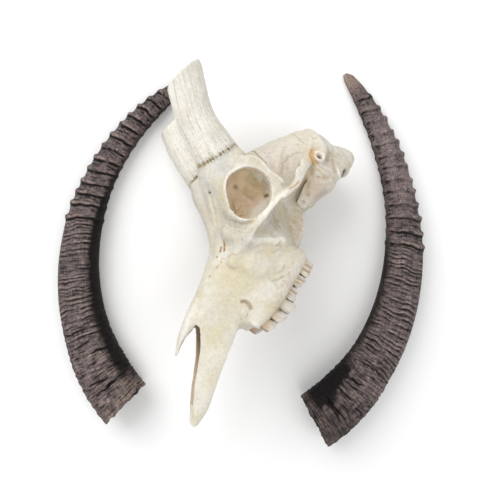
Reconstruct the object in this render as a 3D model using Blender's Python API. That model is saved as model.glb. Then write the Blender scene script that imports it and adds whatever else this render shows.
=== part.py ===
"""Skull of a roan antelope lying on its right side, with its two loose horn sheaths.

The skull is drawn in its own frame, in millimetres: x runs forward from the back of the
occipital condyles to the tip of the muzzle, y to the animal's left, and z up from the
chewing face of the teeth. The finished pieces are turned to the resting pose and scaled
to metres, with the origin on the floor under the middle of the whole set.
"""
import math

import bmesh
import bpy
import numpy as np
from mathutils import Matrix, Vector

MM = 0.001
JOINT_GAP = 0.3          # gap between bones that meet
LEFT, RIGHT = 1, -1
SIDE_NAMES = {LEFT: "left", RIGHT: "right"}

# Overall sizes of the skull
ORBIT_CENTRE = (126.0, 73.0, 109.0)
ORBIT_HOLE = 28.5        # radius of the open socket
ORBIT_RIM = 35.5         # outer radius of the raised rim
HORN_SEAM = (102.5, 46.0, 164.5)
HORN_SEAM_SIZE = (28.5, 23.5)      # half width fore and aft, and across
HORN_END = (48.8, 72.3, 250.0)
HORN_END_SIZE = (24.0, 20.3)
RIGHT_CORE_SHORTER = 5.0
HORN_SAW_FALL = 14.0     # degrees by which the sawn end dips towards the back
TOOTH_ROW_BACK, TOOTH_ROW_FRONT = 146.0, 253.0
TOOTH_SHARES = (0.205, 0.205, 0.18, 0.15, 0.14, 0.12)   # last molar to first premolar
TOOTH_TIPS = (-8.5, -9.5, -12.0, -14.0, -10.0, -4.0)     # height of each one's chewing face

# Horn sheaths, drawn on the floor: place and heading of the base, how sharply the horn
# bends there and at its tip, as the radius of its curve, its length and its girth
SHEATH_RINGS = 30
RING_RISE = 0.055        # height of a ring against the half breadth
RINGED_FROM, SMOOTH_FROM = 0.3, 0.86    # shares of the length where rings are full, and fade
SHEATH_FLATNESS = 0.88   # height of its section against its breadth
SHEATH_SOCKET = 250.0    # depth of the hollow
SHEATH_WALL = 5.0        # thickness of its wall at the mouth
SHEATH_SLANT = 4.0       # degrees by which the mouth leans, its outer edge the longer
MOUTH_SHARE = 0.15       # share of the length over which that lean fades
MOUTH_PAST = 8.0         # how far the hollow's cutter starts before the mouth
SHEATH_LAY = {LEFT: ((-148.4, -200.1), 131.6, 264.9, 362.0, 530.0, 0.985),
              RIGHT: ((105.2, -222.4), 32.2, 245.7, 579.1, 545.0, 1.015)}

# Resting pose: turns about the skull's own x, then y, then z, that lay it on its right
# orbit, arch and horn core, and the skull's point that stands over the drawing's middle
REST_ROLL, REST_PITCH, REST_HEADING = 84.38, -11.36, -121.58
SKULL_MIDDLE = (180.0, 0.0, 80.0)
FLOOR_TRIM = 0.5         # what the floor takes off the lowest points

BODY_VOXEL = 2.2
SKULL_FACES = 7200
RING_SIDES = 24


def clear_scene():
    """Remove whatever the scene holds."""
    for thing in list(bpy.data.objects):
        bpy.data.objects.remove(thing, do_unlink=True)


# Mesh helpers

def new_object(name, bm):
    """Make an object of a bmesh, with its faces turned outwards."""
    bmesh.ops.recalc_face_normals(bm, faces=bm.faces)
    mesh = bpy.data.meshes.new(name)
    bm.to_mesh(mesh)
    bm.free()
    thing = bpy.data.objects.new(name, mesh)
    bpy.context.collection.objects.link(thing)
    return thing


def drop(*things):
    """Remove helper objects."""
    for thing in things:
        bpy.data.objects.remove(thing, do_unlink=True)


def settle(thing):
    """Keep the mesh that the object's modifiers make, and clear the modifiers."""
    graph = bpy.context.evaluated_depsgraph_get()
    mesh = bpy.data.meshes.new_from_object(thing.evaluated_get(graph))
    thing.modifiers.clear()
    thing.data = mesh
    return thing


def smooth_between(values, steps):
    """Catmull-Rom values through a list of numbers, with steps between neighbours."""
    values = np.asarray(values, float)
    padded = np.vstack([2 * values[0] - values[1], values, 2 * values[-1] - values[-2]])
    out = []
    for i in range(1, len(padded) - 2):
        a, b, c, d = padded[i - 1:i + 3]
        for step in range(steps):
            t = step / steps
            out.append(0.5 * (2 * b + (c - a) * t + (2 * a - 5 * b + 4 * c - d) * t * t
                              + (3 * b - a - 3 * c + d) * t ** 3))
    out.append(values[-1])
    return out


def loft(name, rings):
    """Skin a row of point rings by extruding one face from the first to the last."""
    bm = bmesh.new()
    bmesh.ops.create_circle(bm, cap_ends=True, radius=1.0, segments=len(rings[0]))
    first = face = bm.faces[:][0]
    ring = list(face.verts)
    for vert, point in zip(ring, rings[0]):
        vert.co = point
    for points in rings[1:]:
        made = bmesh.ops.extrude_face_region(bm, geom=[face])["geom"]
        if face is not first:
            bmesh.ops.delete(bm, geom=[face], context="FACES_ONLY")
        face = next(item for item in made if isinstance(item, bmesh.types.BMFace))
        cap = set(face.verts)
        ring = [next(edge.other_vert(vert) for edge in vert.link_edges
                     if edge.other_vert(vert) in cap) for vert in ring]
        for vert, point in zip(ring, points):
            vert.co = point
    return new_object(name, bm)


def power_of(value, power):
    """A signed power, which squares off a circle's sine or cosine."""
    return math.copysign(abs(value) ** (2.0 / power), value)


def hull(name, stations, steps=4, side=0, sides=RING_SIDES):
    """Loft along x through rows of (x, top, bottom, half width, belly height, squareness).

    With a side, the loft is shifted by the row's last value and mirrored to that side.
    """
    rings = []
    for row in smooth_between(stations, steps):
        x, top, bottom, half, belly, power = row[:6]
        shift = side * row[6] if side else 0.0
        points = []
        for i in range(sides):
            angle = math.tau * (i + 0.5) / sides
            reach = top - belly if math.sin(angle) > 0 else belly - bottom
            points.append(Vector((x, shift + half * power_of(math.cos(angle), power),
                                  belly + reach * power_of(math.sin(angle), power))))
        rings.append(points)
    return loft(name, rings)


def limb(name, stations, side, up=(0, 0, 1), steps=4, sides=14):
    """Loft along a path of rows (x, y, z, half breadth, half height), on one side.

    The height of each section lies along up, as far as the path allows.
    """
    rows = smooth_between(stations, steps)
    centres = [Vector((row[0], side * row[1], row[2])) for row in rows]
    up = Vector((up[0], side * up[1], up[2]))
    rings = []
    for i, row in enumerate(rows):
        along = (centres[min(i + 1, len(rows) - 1)] - centres[max(i - 1, 0)]).normalized()
        high = (up - along * up.dot(along)).normalized()
        broad = high.cross(along)
        rings.append([centres[i] + broad * row[3] * math.cos(math.tau * k / sides)
                      + high * row[4] * math.sin(math.tau * k / sides) for k in range(sides)])
    return loft(name, rings)


def blob(name, centre, radii, side, turn=(0, 0, 0)):
    """An ellipsoid, turned by angles in degrees and mirrored to its side."""
    bm = bmesh.new()
    bmesh.ops.create_icosphere(bm, subdivisions=3, radius=1.0)
    spin = Matrix.Rotation(math.radians(turn[2]), 3, "Z") \
        @ Matrix.Rotation(math.radians(turn[1]), 3, "Y") \
        @ Matrix.Rotation(math.radians(turn[0]), 3, "X")
    for vert in bm.verts:
        place = spin @ Vector([a * b for a, b in zip(vert.co, radii)]) + Vector(centre)
        vert.co = (place.x, side * place.y, place.z)
    return new_object(name, bm)


def slab(name, outline, low, high, side=1):
    """An outline of (x, z) points, extruded along y from low to high."""
    bm = bmesh.new()
    verts = [bm.verts.new((x, side * low, z)) for x, z in outline]
    face = bm.faces.new(verts)
    made = bmesh.ops.extrude_face_region(bm, geom=[face])["geom"]
    bmesh.ops.translate(bm, vec=(0, side * (high - low), 0),
                        verts=[item for item in made if isinstance(item, bmesh.types.BMVert)])
    return new_object(name, bm)


def both_sides(make):
    """Call a maker for the left and the right side, and gather what it gives."""
    things = []
    for side in (LEFT, RIGHT):
        things.extend(make(side))
    return things


def join(name, things):
    """Put several closed meshes into one object."""
    bm = bmesh.new()
    for thing in things:
        bm.from_mesh(thing.data)
    drop(*things)
    return new_object(name, bm)


def fuse(thing, voxel, rounds):
    """Make one skin of overlapping closed meshes, and relax it."""
    remesh = thing.modifiers.new("skin", "REMESH")
    remesh.mode = "VOXEL"
    remesh.voxel_size = voxel
    relax = thing.modifiers.new("relax", "SMOOTH")
    relax.factor = 0.5
    relax.iterations = rounds
    return settle(thing)


def cut(thing, cutter, operation="DIFFERENCE", keep=False):
    """Boolean one object with another."""
    boolean = thing.modifiers.new("cut", "BOOLEAN")
    boolean.operation = operation
    boolean.object = cutter
    settle(thing)
    if not keep:
        drop(cutter)
    return thing


def unite(thing, pieces):
    """Boolean union of one object with a collection of closed pieces."""
    group = bpy.data.collections.new("pieces")
    for piece in pieces:
        group.objects.link(piece)
    boolean = thing.modifiers.new("unite", "BOOLEAN")
    boolean.operation = "UNION"
    boolean.operand_type = "COLLECTION"
    boolean.collection = group
    boolean.solver = "MANIFOLD"
    settle(thing)
    bpy.data.collections.remove(group)
    drop(*pieces)
    return thing


def largest_piece(thing):
    """Keep only the biggest closed surface of a mesh."""
    bm = bmesh.new()
    bm.from_mesh(thing.data)
    left = set(bm.verts)
    best = []
    while left:
        stack = [left.pop()]
        island = []
        while stack:
            vert = stack.pop()
            island.append(vert)
            for edge in vert.link_edges:
                other = edge.other_vert(vert)
                if other in left:
                    left.discard(other)
                    stack.append(other)
        if len(island) > len(best):
            best = island
    keep = set(best)
    bmesh.ops.delete(bm, geom=[vert for vert in bm.verts if vert not in keep], context="VERTS")
    bm.to_mesh(thing.data)
    bm.free()
    return thing


# Forms of the skull

def trunk_forms():
    """Muzzle, forehead and braincase, each a loft along x."""
    muzzle = hull("muzzle", [
        (283, 87, 23, 26, 44, 2.4),
        (268, 91, 22, 29, 42, 2.4),
        (250, 95, 10, 34, 34, 2.3),
        (225, 101, 3, 41, 30, 2.2),
        (200, 107.5, -1, 46, 32, 2.2),
        (175, 115, -1, 49, 42, 2.3),
        (150, 126, 6, 48, 60, 2.5),
        (125, 143, 34, 44, 90, 2.6),
        (104, 147, 52, 40, 100, 2.6),
    ])
    braincase = hull("braincase", [
        (120, 146, 62, 38, 105, 2.4),
        (88, 149, 48, 40, 95, 2.3),
        (60, 135.5, 42, 42, 84, 2.2),
        (38, 124, 36, 43, 77, 2.2),
        (18, 110.5, 33, 42, 70, 2.2),
        (2, 100, 34, 38, 66, 2.2),
        (-6, 92, 42, 30, 66, 2.2),
    ])
    return [muzzle, braincase]


def horn_path():
    """Rows of the horn core's path from deep in the forehead to its sawn end."""
    seam, end = np.array(HORN_SEAM), np.array(HORN_END)
    middle = (seam + end) / 2 + np.array((5.0, -1.5, 3.0))
    sizes = np.array(HORN_SEAM_SIZE), np.array(HORN_END_SIZE)
    rows = [(116, 28, 112, 44, 27), (113, 33, 130, 39, 26), (108, 40, 148, 32, 24.5)]
    rows.append((*seam, *sizes[0]))
    rows.append((*middle, *(sizes[0] * 0.45 + sizes[1] * 0.55)))
    rows.append((*end, *sizes[1]))
    rows.append((*(end + (end - middle) * 0.25), *(sizes[1] * 0.98)))
    return rows


def horn_forms(side):
    """Pedicle and horn core in one limb, with the ridge that runs down its front."""
    rows = [(x, y, z, across, fore) for x, y, z, fore, across in horn_path()]
    core = limb("core", rows, side, up=(1, 0, 0), sides=20)
    ridge = limb("front_ridge", [(208, 16, 93, 7, 7), (182, 22, 104, 10, 9), (162, 27, 119, 13, 10.5),
                                 (146, 32, 138, 15, 12), (132, 35, 156, 16, 12),
                                 (120, 38, 172, 14, 10)], side, up=(1, 0, 0.6))
    return [core, ridge]


def orbit_forms(side):
    """The socket's wall, its raised rim and the bar behind it."""
    x, y, z = ORBIT_CENTRE
    cone = limb("socket", [(x + 8, 20, z - 8, 40, 38), (x + 5, 45, z - 3, 38, 37),
                           (x + 1, 64, z, ORBIT_RIM + 0.5, ORBIT_RIM + 0.5),
                           (x, y + 4, z, ORBIT_RIM - 1.5, ORBIT_RIM - 1.5)],
                side, sides=28)
    bar = limb("bar", [(106, 72, 140, 6, 6), (95, 77, 124, 5, 6), (91, 80, 106, 5, 6),
                       (96, 80, 88, 6, 6), (104, 79, 78, 7, 6)], side, up=(1, 0, 0))
    return [cone, bar]


def cheek_forms(side):
    """Jugal ridge, the facial tuber and the arch that runs back to the ear."""
    ridge = limb("ridge", [(192, 44, 74, 6, 8), (172, 52, 79, 7, 5), (158, 62, 80, 7, 5),
                           (140, 71, 78, 7, 5), (118, 77, 75, 6, 5.5), (100, 78, 72, 5, 6.5)], side)
    arch = limb("arch", [(112, 77, 74, 5, 7), (94, 78, 70, 4, 8), (78, 76, 67, 4, 7.5),
                         (64, 70, 67, 5, 6.5), (50, 58, 68, 9, 7), (40, 44, 68, 10, 8)], side)
    tuber = blob("tuber", (187, 38, 50), (20, 16, 30), side, (0, 12, 0))
    molars = hull("alveolus", [(252, 22, 6, 8, 14, 2.2, 32), (228, 24, 2, 10, 12, 2.4, 36),
                               (200, 28, -3, 11, 12, 2.4, 39), (170, 30, -3, 11, 12, 2.4, 40),
                               (148, 28, 0, 9, 13, 2.2, 40)], side=side)
    return [ridge, arch, tuber, molars]


def muzzle_forms(side):
    """Nasal spike and premaxilla of one side."""
    nasal = limb("nasal", [(258, 10.5, 88.5, 11, 6), (285, 10, 83.5, 10.5, 5), (300, 9, 81.5, 9, 4),
                           (315, 8, 79, 6.5, 3.2), (330, 7, 75, 2.6, 1.8)], side)
    premaxilla = limb("premaxilla", [
        (270, 26, 50, 5, 28.5), (290, 25.5, 45.5, 4.6, 24.5), (308, 24, 38.5, 4.4, 20),
        (326, 21, 31, 4.4, 16.5), (345, 17, 24.5, 4.8, 12.5), (362, 13.5, 18, 5.4, 8.5),
        (376, 10.5, 15, 5.4, 5.6), (387, 9, 13.5, 3.5, 3)], side, up=(0, -0.35, 1))
    shelf = limb("palate_bar", [(280, 9, 26, 6, 3), (310, 8, 22, 4.5, 2.5), (345, 7, 17, 4, 2.5),
                                (368, 8, 14.5, 4, 2.5)], side)
    return [nasal, premaxilla, shelf]


def base_forms(side):
    """Occiput, condyle, ear and the processes under the braincase."""
    crest = limb("nuchal_crest", [(-5, 0, 88, 5, 5), (-3, 20, 86, 4.5, 5), (5, 38, 78, 4.5, 5),
                                  (16, 52, 66, 6, 6), (24, 54, 52, 6, 6)], side)
    temple = limb("temporal_crest", [(10, 44, 78, 4, 5), (30, 50, 72, 6, 6), (50, 58, 69, 7, 6)], side)
    condyle = limb("condyle", [(14, 21, 52, 8, 9), (5, 25, 43, 10, 11.5), (1, 27, 31, 10, 12),
                               (0, 27, 20, 9, 10), (2, 25, 12, 5, 6)], side, up=(1, 0, 0))
    process = limb("paroccipital", [(24, 46, 52, 10, 9), (29, 46, 36, 7, 7), (33, 45, 24, 6, 6),
                                    (37, 44, 15, 3.5, 4)], side, up=(1, 0, 0))
    bulla = blob("bulla", (54, 32, 38), (17, 10, 14), side, (0, 12, 8))
    block = blob("mastoid_block", (46, 45, 36), (12, 9, 14), side, (0, 10, 0))
    ear = limb("ear_tube", [(44, 36, 50, 9, 9), (40, 48, 56, 8, 8), (37, 60, 60, 7.6, 7.6)], side,
               up=(1, 0, 0))
    wing = limb("pterygoid", [(84, 15, 56, 3, 10), (100, 14, 44, 2.5, 14), (120, 14, 32, 2.5, 14),
                              (142, 17, 24, 3, 10)], side)
    base = limb("basioccipital", [(2, 8, 44, 12, 12), (30, 6, 42, 11, 9), (70, 5, 50, 10, 9),
                                  (110, 5, 62, 9, 14)], side)
    return [crest, temple, condyle, process, bulla, block, ear, wing, base]


def cavity_cutters():
    """What is hollow: sockets, nose, palate, choanae, ear canals and the great foramen."""
    nose = hull("nose", [(330, 73, 24, 14, 50, 2.4), (300, 76.5, 30, 20, 52, 2.8),
                         (284, 78.5, 29, 23, 52, 3.0), (268, 82, 28, 24, 50, 2.6),
                         (240, 87, 26, 26, 48, 2.3),
                         (210, 92, 26, 26, 50, 2.3), (185, 88, 36, 20, 60, 2.2)])
    palate = hull("palate", [(300, 19, -20, 16, 4, 2.4), (270, 19, -20, 21, 4, 2.4),
                             (240, 15, -24, 24, 0, 2.4), (200, 13, -28, 26, 0, 2.4),
                             (160, 14, -28, 27, 0, 2.4), (140, 22, -28, 27, 0, 2.4)])
    throat = hull("throat", [(160, 30, -10, 10, 20, 2.4), (135, 50, -20, 11.5, 24, 2.4),
                             (110, 56, -30, 11.5, 30, 2.4), (88, 56, -10, 9, 34, 2.4)])
    foramen = hull("foramen", [(-30, 66, 34, 13, 50, 2.1), (6, 64, 36, 13, 50, 2.1),
                               (26, 60, 42, 10, 50, 2.1)])

    def side_cutters(side):
        x, y, z = ORBIT_CENTRE
        socket = limb("socket_hollow", [(x - 1, 27, z - 3, 16, 16), (x - 2, 34, z - 3, 26, 26),
                                        (x - 1, 50, z - 1, 30.5, 30.5),
                                        (x, 66, z, ORBIT_HOLE + 1, ORBIT_HOLE + 1),
                                        (x, 100, z, ORBIT_HOLE + 1, ORBIT_HOLE + 1)], side, sides=28)
        fossa = limb("fossa_hollow", [(120, 52, 100, 14, 20), (96, 56, 96, 15, 24), (78, 58, 96, 14, 26),
                                      (62, 62, 98, 14, 24), (40, 70, 110, 14, 26)], side, sides=20)
        canal = limb("ear_canal", [(42, 44, 53, 3, 3), (37, 60, 60, 4, 4), (34, 70, 64, 4, 4)], side,
                     up=(1, 0, 0))
        return [socket, fossa, canal]

    return [nose, palate, throat, foramen] + both_sides(side_cutters)


def tooth_forms(side):
    """Six cheek teeth, each a short squared block with its root sunk in the jaw."""
    root = 22.0
    things = []
    back = TOOTH_ROW_BACK
    length = TOOTH_ROW_FRONT - TOOTH_ROW_BACK
    for share, tip in zip(TOOTH_SHARES, TOOTH_TIPS):
        step = share * length
        mid = back + step / 2
        along = (mid - TOOTH_ROW_BACK) / length
        outer = 45.0 - 9.5 * max(0.0, along - 0.35)
        breadth = 9.0 - 3.5 * along ** 2
        half = step / 2 - 0.6
        cusps = ((-1, 2, 0.86), (-0.5, 0, 1), (0, 1.5, 0.94), (0.5, 0, 1), (1, 2, 0.86))
        things.append(hull("tooth", [
            (mid + place * half, root, tip + drop, breadth * width, 8, 3.5, outer - breadth)
            for place, drop, width in cusps], steps=1, side=side, sides=10))
        back += step
    return things


def whole_skull():
    """The skull in one closed surface, hollowed, before it is parted into its bones."""
    forms = trunk_forms()
    for maker in (horn_forms, orbit_forms, cheek_forms, muzzle_forms, base_forms):
        forms += both_sides(maker)
    skull = fuse(join("skull", forms), BODY_VOXEL, 6)
    for cutter in cavity_cutters() + both_sides(horn_saw):
        cut(skull, cutter)
    skull = fuse(largest_piece(skull), BODY_VOXEL, 2)
    thin = skull.modifiers.new("thin", "DECIMATE")
    thin.ratio = SKULL_FACES / sum(len(face.vertices) - 2 for face in skull.data.polygons)
    return largest_piece(settle(skull))


# Parting the skull into its bones

def horn_axis(side):
    """The direction in which a horn core leaves its seam."""
    path = [Vector(row[:3]) for row in horn_path()]
    along = (path[4] - path[2]).normalized()
    return Vector((along.x, side * along.y, along.z))


def slab_on(name, centre, normal, breadth, height):
    """A square block that stands on a plane through centre, on the side of its normal."""
    bm = bmesh.new()
    bmesh.ops.create_cube(bm, size=1.0)
    turn = normal.to_track_quat("Z", "Y").to_matrix().to_4x4()
    place = Matrix.Translation(centre) @ turn @ Matrix.Diagonal((breadth, breadth, height, 1)) \
        @ Matrix.Translation((0, 0, 0.5))
    bmesh.ops.transform(bm, matrix=place, verts=bm.verts)
    return new_object(name, bm)


def horn_saw(side):
    """What the saw took off the horn core: a block on its sloping end."""
    fall = math.radians(HORN_SAW_FALL)
    normal = Vector((-math.sin(fall), 0, math.cos(fall)))
    end = Vector((HORN_END[0], side * HORN_END[1], HORN_END[2]))
    if side == RIGHT:
        end -= horn_axis(side) * RIGHT_CORE_SHORTER
    return [slab_on("saw", end, normal, 90, 60)]


def prism(name, rows, side):
    """Loft along x through rows of (x, inner, outer, low, high) rectangles on one side."""
    return loft(name, [[Vector((x, side * inner, low)), Vector((x, side * outer, low)),
                        Vector((x, side * outer, high)), Vector((x, side * inner, high))]
                       for x, inner, outer, low, high in rows])


def core_region(side):
    """The horn core, above its seam."""
    seam = Vector((HORN_SEAM[0], side * HORN_SEAM[1], HORN_SEAM[2]))
    return slab_on("core_region", seam, horn_axis(side), 130, 140)


def nasal_region(side):
    """One nasal bone, from its root between the orbits to its free tip."""
    middle = JOINT_GAP / 2
    return prism("nasal_region", [(170, middle, 6, 103, 150), (188, middle, 15, 98, 150),
                                  (215, middle, 19, 93, 150), (245, middle, 21.5, 86, 150),
                                  (268, middle, 21.5, 82, 150), (284, middle, 21, 73, 150),
                                  (300, middle, 21, 66, 150), (345, middle, 21, 60, 150)], side)


def premaxilla_region(side):
    """One premaxilla, in front of the suture that climbs from the gum to the nasal."""
    return slab("premaxilla_region", [(267, 84), (270, 76), (285, 58), (294, 44), (301, 37),
                                      (318, 27), (326, 0), (400, -10), (400, 90), (290, 90)],
                JOINT_GAP / 2, 70, side)


def jugal_region(side):
    """One zygomatic bone, from the face under the orbit to the end of its arch."""
    return slab("jugal_region", [(196, 88), (176, 88), (158, 98), (126, 106), (106, 102),
                                 (84, 99), (56, 84), (58, 52), (100, 50), (150, 60), (184, 68)],
                49, 110, side)


def maxillae_region(side):
    """Both jaws' bones: the face in front of the orbits, the palate and the tooth rows."""
    return slab("maxillae_region", [(193, 140), (188, 104), (176, 84), (158, 66), (136, 56),
                                    (118, 44), (112, 26), (132, -40), (420, -40), (420, 140)],
                -90, 90)


def take(skull, region, name):
    """Part a bone from the skull along a region's faces, leaving the joint's gap."""
    bone = skull.copy()
    bone.data = skull.data.copy()
    bone.name = name
    bpy.context.collection.objects.link(bone)
    cut(bone, region, "INTERSECT", keep=True)
    swell = region.modifiers.new("gap", "DISPLACE")
    swell.strength = JOINT_GAP
    swell.mid_level = 0.0
    settle(region)
    cut(skull, region)
    return largest_piece(bone)


def bones():
    """Every bone of the skull, each an object of its own, with the teeth in the jaws."""
    skull = whole_skull()
    parts = []
    for side in (LEFT, RIGHT):
        parts.append(take(skull, core_region(side), f"horn_core_{SIDE_NAMES[side]}"))
    for side in (LEFT, RIGHT):
        parts.append(take(skull, nasal_region(side), f"nasal_{SIDE_NAMES[side]}"))
    for side in (LEFT, RIGHT):
        parts.append(take(skull, premaxilla_region(side), f"premaxilla_{SIDE_NAMES[side]}"))
    for side in (LEFT, RIGHT):
        parts.append(take(skull, jugal_region(side), f"zygomatic_{SIDE_NAMES[side]}"))
    jaws = take(skull, maxillae_region(LEFT), "maxillae")
    parts.append(largest_piece(unite(jaws, both_sides(tooth_forms))))
    skull.name = "cranium"
    parts.append(largest_piece(skull))
    return parts


# Horn sheaths

def sheath_breadth(side, share):
    """Half breadth of a sheath at a share of its length from the base."""
    shares = (0.0, 0.05, 0.12, 0.2, 0.3, 0.4, 0.5, 0.6, 0.75, 0.87, 0.95, 0.985, 1.0)
    halves = (38.0, 37.6, 36.2, 32.6, 30.6, 28.4, 26.2, 22.4, 18.9, 15.0, 11.0, 8.2, 4.0)
    return SHEATH_LAY[side][-1] * np.interp(share, shares, halves)


def sheath_course(side, samples):
    """Points (x, y) and headings along a sheath on the floor, from its base to its tip."""
    (x, y), heading, base_radius, tip_radius, length, _ = SHEATH_LAY[side]
    angle = math.radians(heading)
    step = length / samples
    rows = [(x, y, angle)]
    for i in range(samples):
        share = (i + 0.5) / samples
        bend = (1 - share) / base_radius + share / tip_radius
        middle = angle - side * bend * step / 2
        x, y = x + step * math.cos(middle), y + step * math.sin(middle)
        angle -= side * bend * step
        rows.append((x, y, angle))
    return rows


def sheath_ring(side, row, share, half, height, sides):
    """An oval section across the course, centred at a height, and leaning near the mouth."""
    x, y, angle = row
    angle += side * math.radians(SHEATH_SLANT) * max(0.0, 1 - share / MOUTH_SHARE)
    across = Vector((-math.sin(angle), math.cos(angle), 0))
    turns = [math.tau * k / sides for k in range(sides)]
    return [Vector((x, y, height + half * SHEATH_FLATNESS * math.sin(turn)))
            + across * half * math.cos(turn) for turn in turns]


def horn_sheath(side):
    """One hollow sheath with its ridged rings, lying on its flat side."""
    samples = 2 * SHEATH_RINGS
    rows = sheath_course(side, samples)
    outer = []
    for i, row in enumerate(rows):
        share = i / samples
        half = sheath_breadth(side, share)
        swell = RING_RISE * half * min(share / RINGED_FROM, 1.0) * (1.0 if share < SMOOTH_FROM else 0.3)
        ring_half = half + (swell if i % 2 else -swell * 0.4)
        outer.append(sheath_ring(side, row, share, ring_half, half * SHEATH_FLATNESS, 20))
    sheath = loft(f"horn_sheath_{SIDE_NAMES[side]}", outer)
    last = int(samples * SHEATH_SOCKET / SHEATH_LAY[side][4])
    x, y, angle = rows[0]
    rows[0] = (x - MOUTH_PAST * math.cos(angle), y - MOUTH_PAST * math.sin(angle), angle)
    hollow = []
    for i in range(0, last + 1, 4):
        share = i / samples
        half = sheath_breadth(side, share)
        wall = SHEATH_WALL + 0.6 * half * i / last
        hollow.append(sheath_ring(side, rows[i], share, half - wall, half * SHEATH_FLATNESS, 14))
    return cut(sheath, loft("hollow", hollow))


def rest_turn():
    """The rotation from the skull's frame to the room."""
    return Matrix.Rotation(math.radians(REST_HEADING), 4, "Z") \
        @ Matrix.Rotation(math.radians(REST_PITCH), 4, "Y") \
        @ Matrix.Rotation(math.radians(REST_ROLL), 4, "X")


def extent(parts):
    """The lowest and highest corner of several objects' meshes."""
    points = np.array([vert.co for part in parts for vert in part.data.vertices])
    return points.min(axis=0), points.max(axis=0)


def lay_down(skull_parts, sheaths):
    """Turn the skull to its rest beside the sheaths, flatten what touches, and centre all."""
    turn = rest_turn()
    middle = turn @ Vector(SKULL_MIDDLE)
    for part in skull_parts:
        part.data.transform(turn)
    low, high = extent(skull_parts)
    for part in skull_parts:
        part.data.transform(Matrix.Translation((-middle.x, -middle.y, -low[2])))
    everything = skull_parts + sheaths
    for part in everything:
        if extent([part])[0][2] < FLOOR_TRIM:
            floor = slab_on("floor", Vector((0, 0, FLOOR_TRIM)), Vector((0, 0, -1)), 2000, 100)
            largest_piece(cut(part, floor))
    low, high = extent(everything)
    centre = (low + high) / 2
    to_metres = Matrix.Scale(MM, 4) @ Matrix.Translation((-centre[0], -centre[1], -low[2]))
    for part in everything:
        part.data.transform(to_metres)


# Surfaces

def surface(name, colour, roughness):
    """A plain material of one colour."""
    material = bpy.data.materials.new(name)
    material.use_nodes = True
    shader = next(node for node in material.node_tree.nodes if node.type == "BSDF_PRINCIPLED")
    shader.inputs["Base Color"].default_value = (*colour, 1.0)
    shader.inputs["Roughness"].default_value = roughness
    shader.inputs["Metallic"].default_value = 0.0
    return material


def finish(part):
    """Give a piece its own material, and soften its shading between sharp edges."""
    tones = {"horn_core": (0.80, 0.76, 0.66), "horn_sheath": (0.045, 0.036, 0.032),
             "maxillae": (0.78, 0.72, 0.58), "nasal": (0.82, 0.77, 0.65)}
    tone = next((tones[key] for key in tones if part.name.startswith(key)), (0.80, 0.75, 0.63))
    rough = 0.6 if part.name.startswith("horn_sheath") else 0.75
    part.data.materials.clear()
    part.data.materials.append(surface(f"{part.name}_surface", tone, rough))
    part.data.shade_smooth()
    part.data.set_sharp_from_angle(angle=math.radians(50))


def main():
    """Build every piece and set it down."""
    clear_scene()
    skull_parts = bones()
    sheaths = [horn_sheath(side) for side in (LEFT, RIGHT)]
    lay_down(skull_parts, sheaths)
    for part in skull_parts + sheaths:
        finish(part)


if __name__ == "__main__":
    main()
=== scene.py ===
"""The finished look of a roan antelope's skull and its two loose horn sheaths.

The skull is modelled whole in its own frame, in millimetres, where x runs forward from the
condyles to the muzzle, y to the animal's left and z up from the chewing face of the teeth.
It is then carved, painted, parted into its bones and laid down where the frame has them.
"""
import logging
import math
from dataclasses import dataclass, field
from enum import Enum
from typing import Callable, Iterable, Optional, Sequence

import bmesh
import bpy
import numpy as np
from mathutils import Matrix, Vector, kdtree, noise
from mathutils.bvhtree import BVHTree


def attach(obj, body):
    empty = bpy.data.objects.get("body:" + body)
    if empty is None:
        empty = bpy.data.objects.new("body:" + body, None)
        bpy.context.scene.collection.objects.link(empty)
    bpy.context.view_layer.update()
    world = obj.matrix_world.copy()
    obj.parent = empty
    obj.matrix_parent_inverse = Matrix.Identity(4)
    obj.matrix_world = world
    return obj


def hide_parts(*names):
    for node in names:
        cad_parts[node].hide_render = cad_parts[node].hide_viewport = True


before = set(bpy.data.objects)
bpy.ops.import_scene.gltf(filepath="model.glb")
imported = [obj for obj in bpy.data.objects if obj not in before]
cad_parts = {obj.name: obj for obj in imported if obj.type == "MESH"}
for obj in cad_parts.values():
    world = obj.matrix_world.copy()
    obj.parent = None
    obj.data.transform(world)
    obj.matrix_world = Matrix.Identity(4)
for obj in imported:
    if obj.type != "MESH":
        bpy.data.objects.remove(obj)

log = logging.getLogger("skull")

MM = 0.001
LEFT, RIGHT = 1, -1
SIDES = {LEFT: "left", RIGHT: "right"}
FLOOR_CLEAR = 0.02      # millimetres that the lowest points keep above the floor

Rows = Sequence[Sequence[float]]
Point = Sequence[float]

REST_ROLL, REST_PITCH, REST_HEADING = 84.38, -11.36, -121.58
SKULL_SHIFT = (153.083, 102.271, 55.457)     # from the turned skull's origin to the room's, in mm
SHEATH_SHIFT = (-6.351, -5.060, -0.5)        # from the drawn floor to the room's

VOXEL = 1.15
FORM_SIDES = 72
JOINT_GAP = 0.08
MOST_TRIANGLES = 190000


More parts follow.
